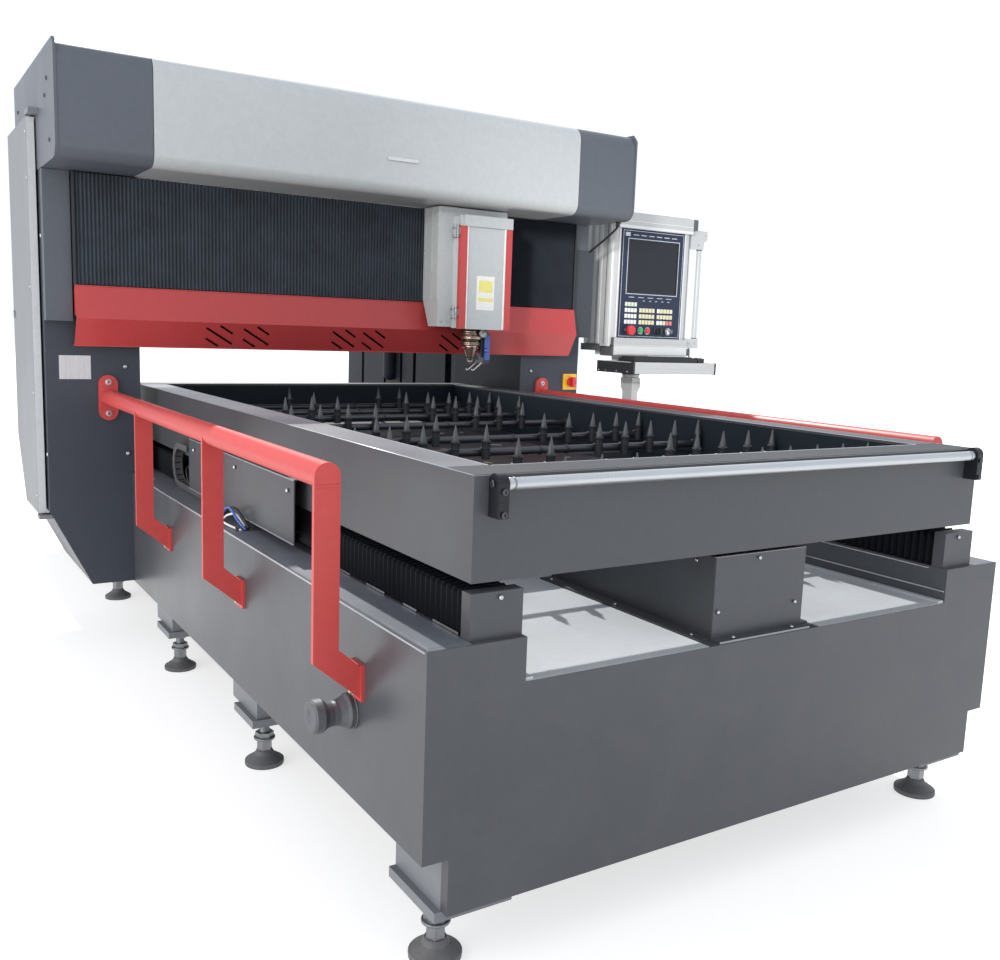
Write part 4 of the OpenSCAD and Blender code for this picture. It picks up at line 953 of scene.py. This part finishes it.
for sx in (-1, 1):
    box(bm, *sorted((sx * 742.5, sx * 791.5)), 12, 2080, 626.6, 628.0, 0)
make("ledge_tops", bm, "ledge", "machine", bevel=0.5)
bm = bmesh.new()                                  # inner side strip of the right column, in the shade of the cover
box(bm, 985, 1095, 2093.8, 2096, 1136, 1500, 0)
make("column_strip_shade", bm, "strip_dark", "machine")
bm = bmesh.new()                                  # dark inner faces of the table
for sx in (-1, 1):
    box(bm, *sorted((sx * 611.0, sx * 612.4)), 128.5, 2421.5, 728, 906)
box(bm, -611.5, 611.5, 127.6, 129.4, 728, 906)
box(bm, -611.5, 611.5, 2420.6, 2422.3, 728, 906)
make("table_inner_faces", bm, "rail_dark", "table")
bm = bmesh.new()                                  # dark strip on the rear rim: painted shade under the gantry
box(bm, -704, 704, 2424, 2513, 911.8, 914.2)
make("rear_rim_painted_shade", bm, "black", "table", bevel=0.8)
bm = bmesh.new()                                  # dark sheets on the inner faces of the columns: painted shade under the beam
for sx in (-1, 1):
    box(bm, *sorted((sx * 768.8, sx * 770.4)), 2140, 2690, 640, 1129)
make("column_inner_shade_sheets", bm, "column_inner", "machine")
bm = bmesh.new()                                  # inner wall angles that the rods rest on
for sx in (-1, 1):
    box(bm, *sorted((sx * 596, sx * 612.3)), 134, 2418, 803, 808, 0)
    box(bm, *sorted((sx * 607.5, sx * 612.3)), 134, 2418, 774, 806, 0)
make("table_rod_angles", bm, "rail_dark", "table", bevel=0.8)
bm = bmesh.new()
for sx in (-1, 1):
    for y in [250, 570, 870, 1150, 1560, 1870, 2090, 2340]:
        lathe(bm, (sx * 609.5, y + 22, 828), (-sx, 0, 0), [(0, 17), (5, 17), (6.5, 15), (6.5, 11.2), (0.5, 11.2)], 24, 0)
make("rod_end_collars", bm, "spike", "table")
bm = bmesh.new()                                  # bright worn cones over the spike points, and screws on their blocks
ROWS = [250, 570, 870, 1150, 1560, 1870, 2090, 2340]
RL, RR = [3, 2, 5, 3, 4, 3, 1, 1], [5, 5, 5, 5, 3, 5, 5, 2]
TIPS = []
for i, y in enumerate(ROWS):
    TIPS += [(-165 - 95 * k, y) for k in range(RL[i])] + [(215 + 95 * k, y) for k in range(RR[i])]
for x, y in TIPS:
    lathe(bm, (x, y, 861.6), (0, 0, 1), [(0, 9.6), (0.8, 9.6), (42.8, 1.3), (43.8, 0)], 18, 0)
    lathe(bm, (x, y, 861.8), (0, 0, -1), [(0, 12.0), (2, 12.4), (6, 12.4), (8, 11.7)], 18, 1)
    lathe(bm, (x, y, 843), (0, 0, -1), [(0, 12.0), (1.0, 12.5), (3, 12.5), (4, 11.7)], 18, 1)
make("spike_points", bm, ("spike_tip", "spike"), "table")
bm = bmesh.new()
for x, y in TIPS:
    lathe(bm, (x, y + 22, 838.2), (0, 0, 1), [(0, 4.2), (2.6, 4.2), (3.2, 3.4), (3.2, 2.0), (1.2, 1.9), (1.2, 0)], 10, 0)
make("spike_block_screws", bm, "studs", "table")
bm = bmesh.new()                                  # rod clamps and thin collars along the rods
for i, y in enumerate(ROWS):
    for x in (-560, -480, 20, 110):
        lathe(bm, (x, y + 22, 828), (1, 0, 0), [(0, 11.0), (0.8, 13.2), (7.2, 13.2), (8, 11.0)], 20, 0)
make("rod_collars", bm, "spike", "table")
bm = bmesh.new()                                  # off-cuts and dust left on the tray
rnd = random.Random(11)
for k in range(46):
    x, y = rnd.uniform(-590, 350), rnd.uniform(760, 2400)
    if min(abs(y - r - 11) for r in ROWS) < 38: continue
    a, w, d = rnd.uniform(0, 3.14), rnd.uniform(5, 22), rnd.uniform(3, 9)
    if 1180 < y < 1330 or 2010 < y < 2080: continue
    z = 771.0 if x < 372 else 751.0
    ca, sa = math.cos(a), math.sin(a)
    lowv = [bm.verts.new(P(x + px * ca - py * sa, y + px * sa + py * ca, z)) for px, py in ((-w, -d), (w, -d * 0.6), (w * 0.8, d), (-w * 0.7, d * 0.8))]
    topv = [bm.verts.new((v.co.x, v.co.y, v.co.z + 0.0022)) for v in lowv]
    bm.faces.new(lowv); bm.faces.new(topv)
    for j in range(4):
        bm.faces.new((lowv[j], lowv[(j + 1) % 4], topv[(j + 1) % 4], topv[j]))
make("tray_offcuts", bm, "offcut", "table")
bm = bmesh.new()                                  # side covers of the table: screws and a turned lower edge
for sx in (-1, 1):
    for y, z in ((799, 770), (1191, 772), (1580, 771)):
        button_screw(bm, (sx * 745, y, z), (sx, 0, 0), 5.4, 0)
make("side_cover_screws", bm, "bolt", "table")
bm = bmesh.new()
for sx in (-1, 1):
    box(bm, *sorted((sx * 741.5, sx * 743.2)), 763.5, 1639.5, 646.4, 650, 0)
    box(bm, *sorted((sx * 741.5, sx * 743.2)), 763.5, 1639.5, 796.4, 799.8, 0)
make("side_cover_folds", bm, ("grey_light", "dark"), "table", bevel=0.5)
bm = bmesh.new()                                  # oil hoses and small fittings beside the table block on the left
tube(bm, catmull([(-716, 1702, 700), (-724, 1690, 716), (-733, 1672, 712), (-736, 1655, 694), (-738, 1648, 672)], 8), 3.0, 10, 0)
tube(bm, catmull([(-716, 1726, 694), (-728, 1712, 702), (-737, 1690, 690), (-739, 1668, 668), (-737, 1652, 656)], 8), 2.6, 10, 0)
tube(bm, catmull([(716, 1702, 700), (724, 1690, 716), (733, 1672, 712), (736, 1655, 694), (738, 1648, 672)], 8), 3.0, 10, 0)
for sx in (-1, 1):
    for y, z in ((1702, 700), (1726, 694)):
        lathe(bm, (sx * 690, y, z), (sx, 0, 0), [(0, 6), (18, 6), (19, 5), (27, 5), (27, 0)], 8, 2)
make("oil_hoses", bm, ("cable", "blue", "brass_fit"), "table")

bm = bmesh.new()                                  # hoses lying on the ledge
tube(bm, catmull([(-752, 1052, 634), (-758, 1082, 656), (-764, 1122, 674), (-768, 1168, 666), (-764, 1214, 646), (-756, 1252, 631.4)], 8), 3.6, 10, 0)
tube(bm, catmull([(-762, 1046, 631.6), (-772, 1082, 652), (-777, 1126, 676), (-774, 1176, 664), (-766, 1216, 645), (-762, 1256, 631.2)], 8), 3.2, 10, 1)
tube(bm, catmull([(-772, 1050, 631.4), (-781, 1096, 632), (-786, 1146, 634), (-780, 1196, 633), (-774, 1226, 632), (-770, 1262, 631)], 8), 3.0, 10, 2)
tube(bm, catmull([(-756, 1060, 633), (-770, 1100, 662), (-779, 1140, 655), (-775, 1190, 638), (-778, 1240, 631)], 8), 2.8, 10, 2)
for y in (1056, 1246):
    box(bm, -784, -750, y, y + 6, 627, 638, 3)
make("ledge_hoses", bm, ("cable", "blue", "white", "chain"), "machine")
bm = bmesh.new()                                  # bright clips along the foot of the bellows
for sx in (-1, 1):
    for y0, y1 in ((58, 150), (214, 268), (352, 436), (520, 590)):
        box(bm, *sorted((sx * 707.6, sx * 709.2)), y0, y1, 627.5, 632.5)
make("bellows_foot_clips", bm, "bolt", "machine", bevel=0.3)

# ---------------------------------------------------------------- feet
bm = bmesh.new()
for sx in (-1, 1):
    for y in (102, 1048, 1886, 2862, 3838):
        lathe(bm, (sx * 712, y, 0), (0, 0, 1), [(9.4, 50.2), (10.4, 50.7), (12.2, 49.2), (13.0, 47.6)], 48, 0)
        for k in range(24):
            a = 2 * math.pi * k / 24
            ca, sa = math.cos(a), math.sin(a)
            lathe(bm, (sx * 712 + 49.6 * ca, y + 49.6 * sa, 1.5), (0, 0, 1), [(0, 0.8), (0.5, 1.2), (6.5, 1.2), (7.0, 0.8)], 6, 0)
make("pad_grips", bm, "rubber", "machine")
bm = bmesh.new()                                  # coarse thread on the studs
for sx in (-1, 1):
    for y in (102, 1048, 1886, 2862, 3838):
        for z, z1 in ((87.5, 106.5), (121.5, 140.5)):
            if z > 110:
                continue
            prof = []
            while z < z1 - 2.5:
                prof += [(z, 11.9), (z + 1.25, 13.1), (z + 2.5, 11.9)]; z += 2.5
            lathe(bm, (sx * 712, y, 0), (0, 0, 1), prof, 24, 0)
        lathe(bm, (sx * 712, y, 0), (0, 0, 1), [(68.2, 27.0), (69.2, 27.8), (72.8, 27.8), (73.8, 27.0)], 40, 0)
make("stud_threads", bm, "studs", "machine")

# ---------------------------------------------------------------- laser cabinet behind the right column
bm = bmesh.new()
box(bm, 1061.5, 1066, 2760, 3300, 680, 1340, 0)
box(bm, 1061.5, 1066, 3330, 3870, 680, 1340, 0)
box(bm, 1061.5, 1064.5, 2760, 3870, 350, 600, 0)
make("cabinet_doors", bm, "grey", "machine", bevel=1.5)
bm = bmesh.new()
for y in (3270, 3360):
    lathe(bm, (1066, y, 1010), (1, 0, 0), [(0, 14), (2, 14), (3, 12), (3, 6), (1.2, 5.5), (1.2, 0)], 24, 0)
for z in (760, 1260):
    for y in (2756, 3874):
        lathe(bm, (1066, y, z - 35), (0, 0, 1), [(0, 5), (0.6, 6), (69, 6), (70, 5)], 18, 0)
make("cabinet_fittings", bm, "bolt", "machine")
bm = bmesh.new()
for k in range(10):
    z = 390 + 18 * k
    box(bm, 1064, 1067, 2860, 3200, z, z + 7)
    box(bm, 1064, 1067, 3430, 3770, z, z + 7)
make("cabinet_louvres", bm, "grey", "machine", bevel=1.0)
# ---------------------------------------------------------------- cords
CABLE = [(1050, 1882, 1603), (1051, 1884, 1590), (1056, 1898, 1581), (1064, 1925, 1572), (1071, 1965, 1556), (1074, 2010, 1536),
         (1074, 2060, 1513), (1074, 2110, 1491), (1072, 2136, 1481), (1069, 2152, 1476), (1064, 2160, 1474)]
KB = [(1684, 2110, 1103), (1684, 2110, 1086), (1683, 2107, 1070), (1681, 2100, 1056), (1677, 2090, 1048), (1670, 2077, 1044.5), (1663, 2064, 1044)]
def cord(name, pts, r, body, node):
    path = catmull(pts, 8)
    bm = bmesh.new()
    tube(bm, path, r, 16, 0)
    o = make(name, bm, "cable", body, replaces=(node,))
cord("cover_cable_run", CABLE, 4.5, "machine", "cover_cable")
cord("keyboard_cable_run", KB, 2.5, "console", "keyboard_cable")
bm = bmesh.new()                                  # glands where the cords leave
lathe(bm, (1050, 1882, 1603), (0, 0, -1), [(-0.5, 12), (3, 12), (4, 10), (8, 9), (9, 6), (9, 4.8)], 20, 0)
lathe(bm, (1064, 2160, 1474), (1, 0, 0.1), [(-0.5, 11), (2.5, 11), (3.5, 8), (6.0, 7.4), (6.6, 4.8)], 20, 0)
make("cable_glands", bm, "bplastic", "machine")

# ---------------------------------------------------------------- floor, world and lamps
bm = bmesh.new()
s = 40000
bm.faces.new([bm.verts.new(P(x, y, 0)) for x, y in ((-s, -s), (s, -s), (s, s), (-s, s))])
me = bpy.data.meshes.new("floor"); bm.to_mesh(me); bm.free()
floor = bpy.data.objects.new("floor", me); scene.collection.objects.link(floor)
floor_mat = paint("floor_pale", (0.50, 0.50, 0.50), 0.9, peel=0, vary=0.005, spec=0.0)
fb = [n for n in floor_mat.node_tree.nodes if n.type == "BSDF_PRINCIPLED"][0]
fb.inputs["Emission Color"].default_value = (0.64, 0.64, 0.64, 1); fb.inputs["Emission Strength"].default_value = 1.0
me.materials.append(floor_mat)
world = bpy.data.worlds.new("World"); scene.world = world; world.use_nodes = True
bg = world.node_tree.nodes["Background"]
bg.inputs[0].default_value = (1.0, 1.04, 1.12, 1.0); bg.inputs[1].default_value = 1.0


def lamp(name, kind, energy, loc, target, size=None, colour=(1, 1, 1)):
    d = bpy.data.lights.new(name, kind)
    d.energy = energy; d.color = colour
    if kind == "AREA":
        d.shape = "RECTANGLE"; d.size, d.size_y = size
    elif kind == "SPOT":
        d.spot_size = math.radians(size); d.spot_blend = 0.7; d.shadow_soft_size = 0.35
    else:
        d.angle = math.radians(size)
    o = bpy.data.objects.new(name, d); scene.collection.objects.link(o)
    a, b_ = P(*loc), P(*target)
    o.matrix_world = Matrix.Translation(a) @ (b_ - a).to_track_quat("-Z", "Y").to_matrix().to_4x4()
    return o


lamp("sun_from_rear", "SUN", 3.9, (1000, 5600, 5700), (0, 1000, 700), 0.9, (1.0, 0.985, 0.95))
lamp("soft_left", "AREA", 124, (-5200, 300, 1900), (-700, 1100, 300), (4.5, 3.0), (1.0, 0.965, 0.91))
lamp("soft_console", "SPOT", 800, (-2600, -900, 2300), (1400, 2150, 1330), 14.0, (1.0, 0.99, 0.97))
scene.view_settings.view_transform = "Standard"
scene.view_settings.look = "None"
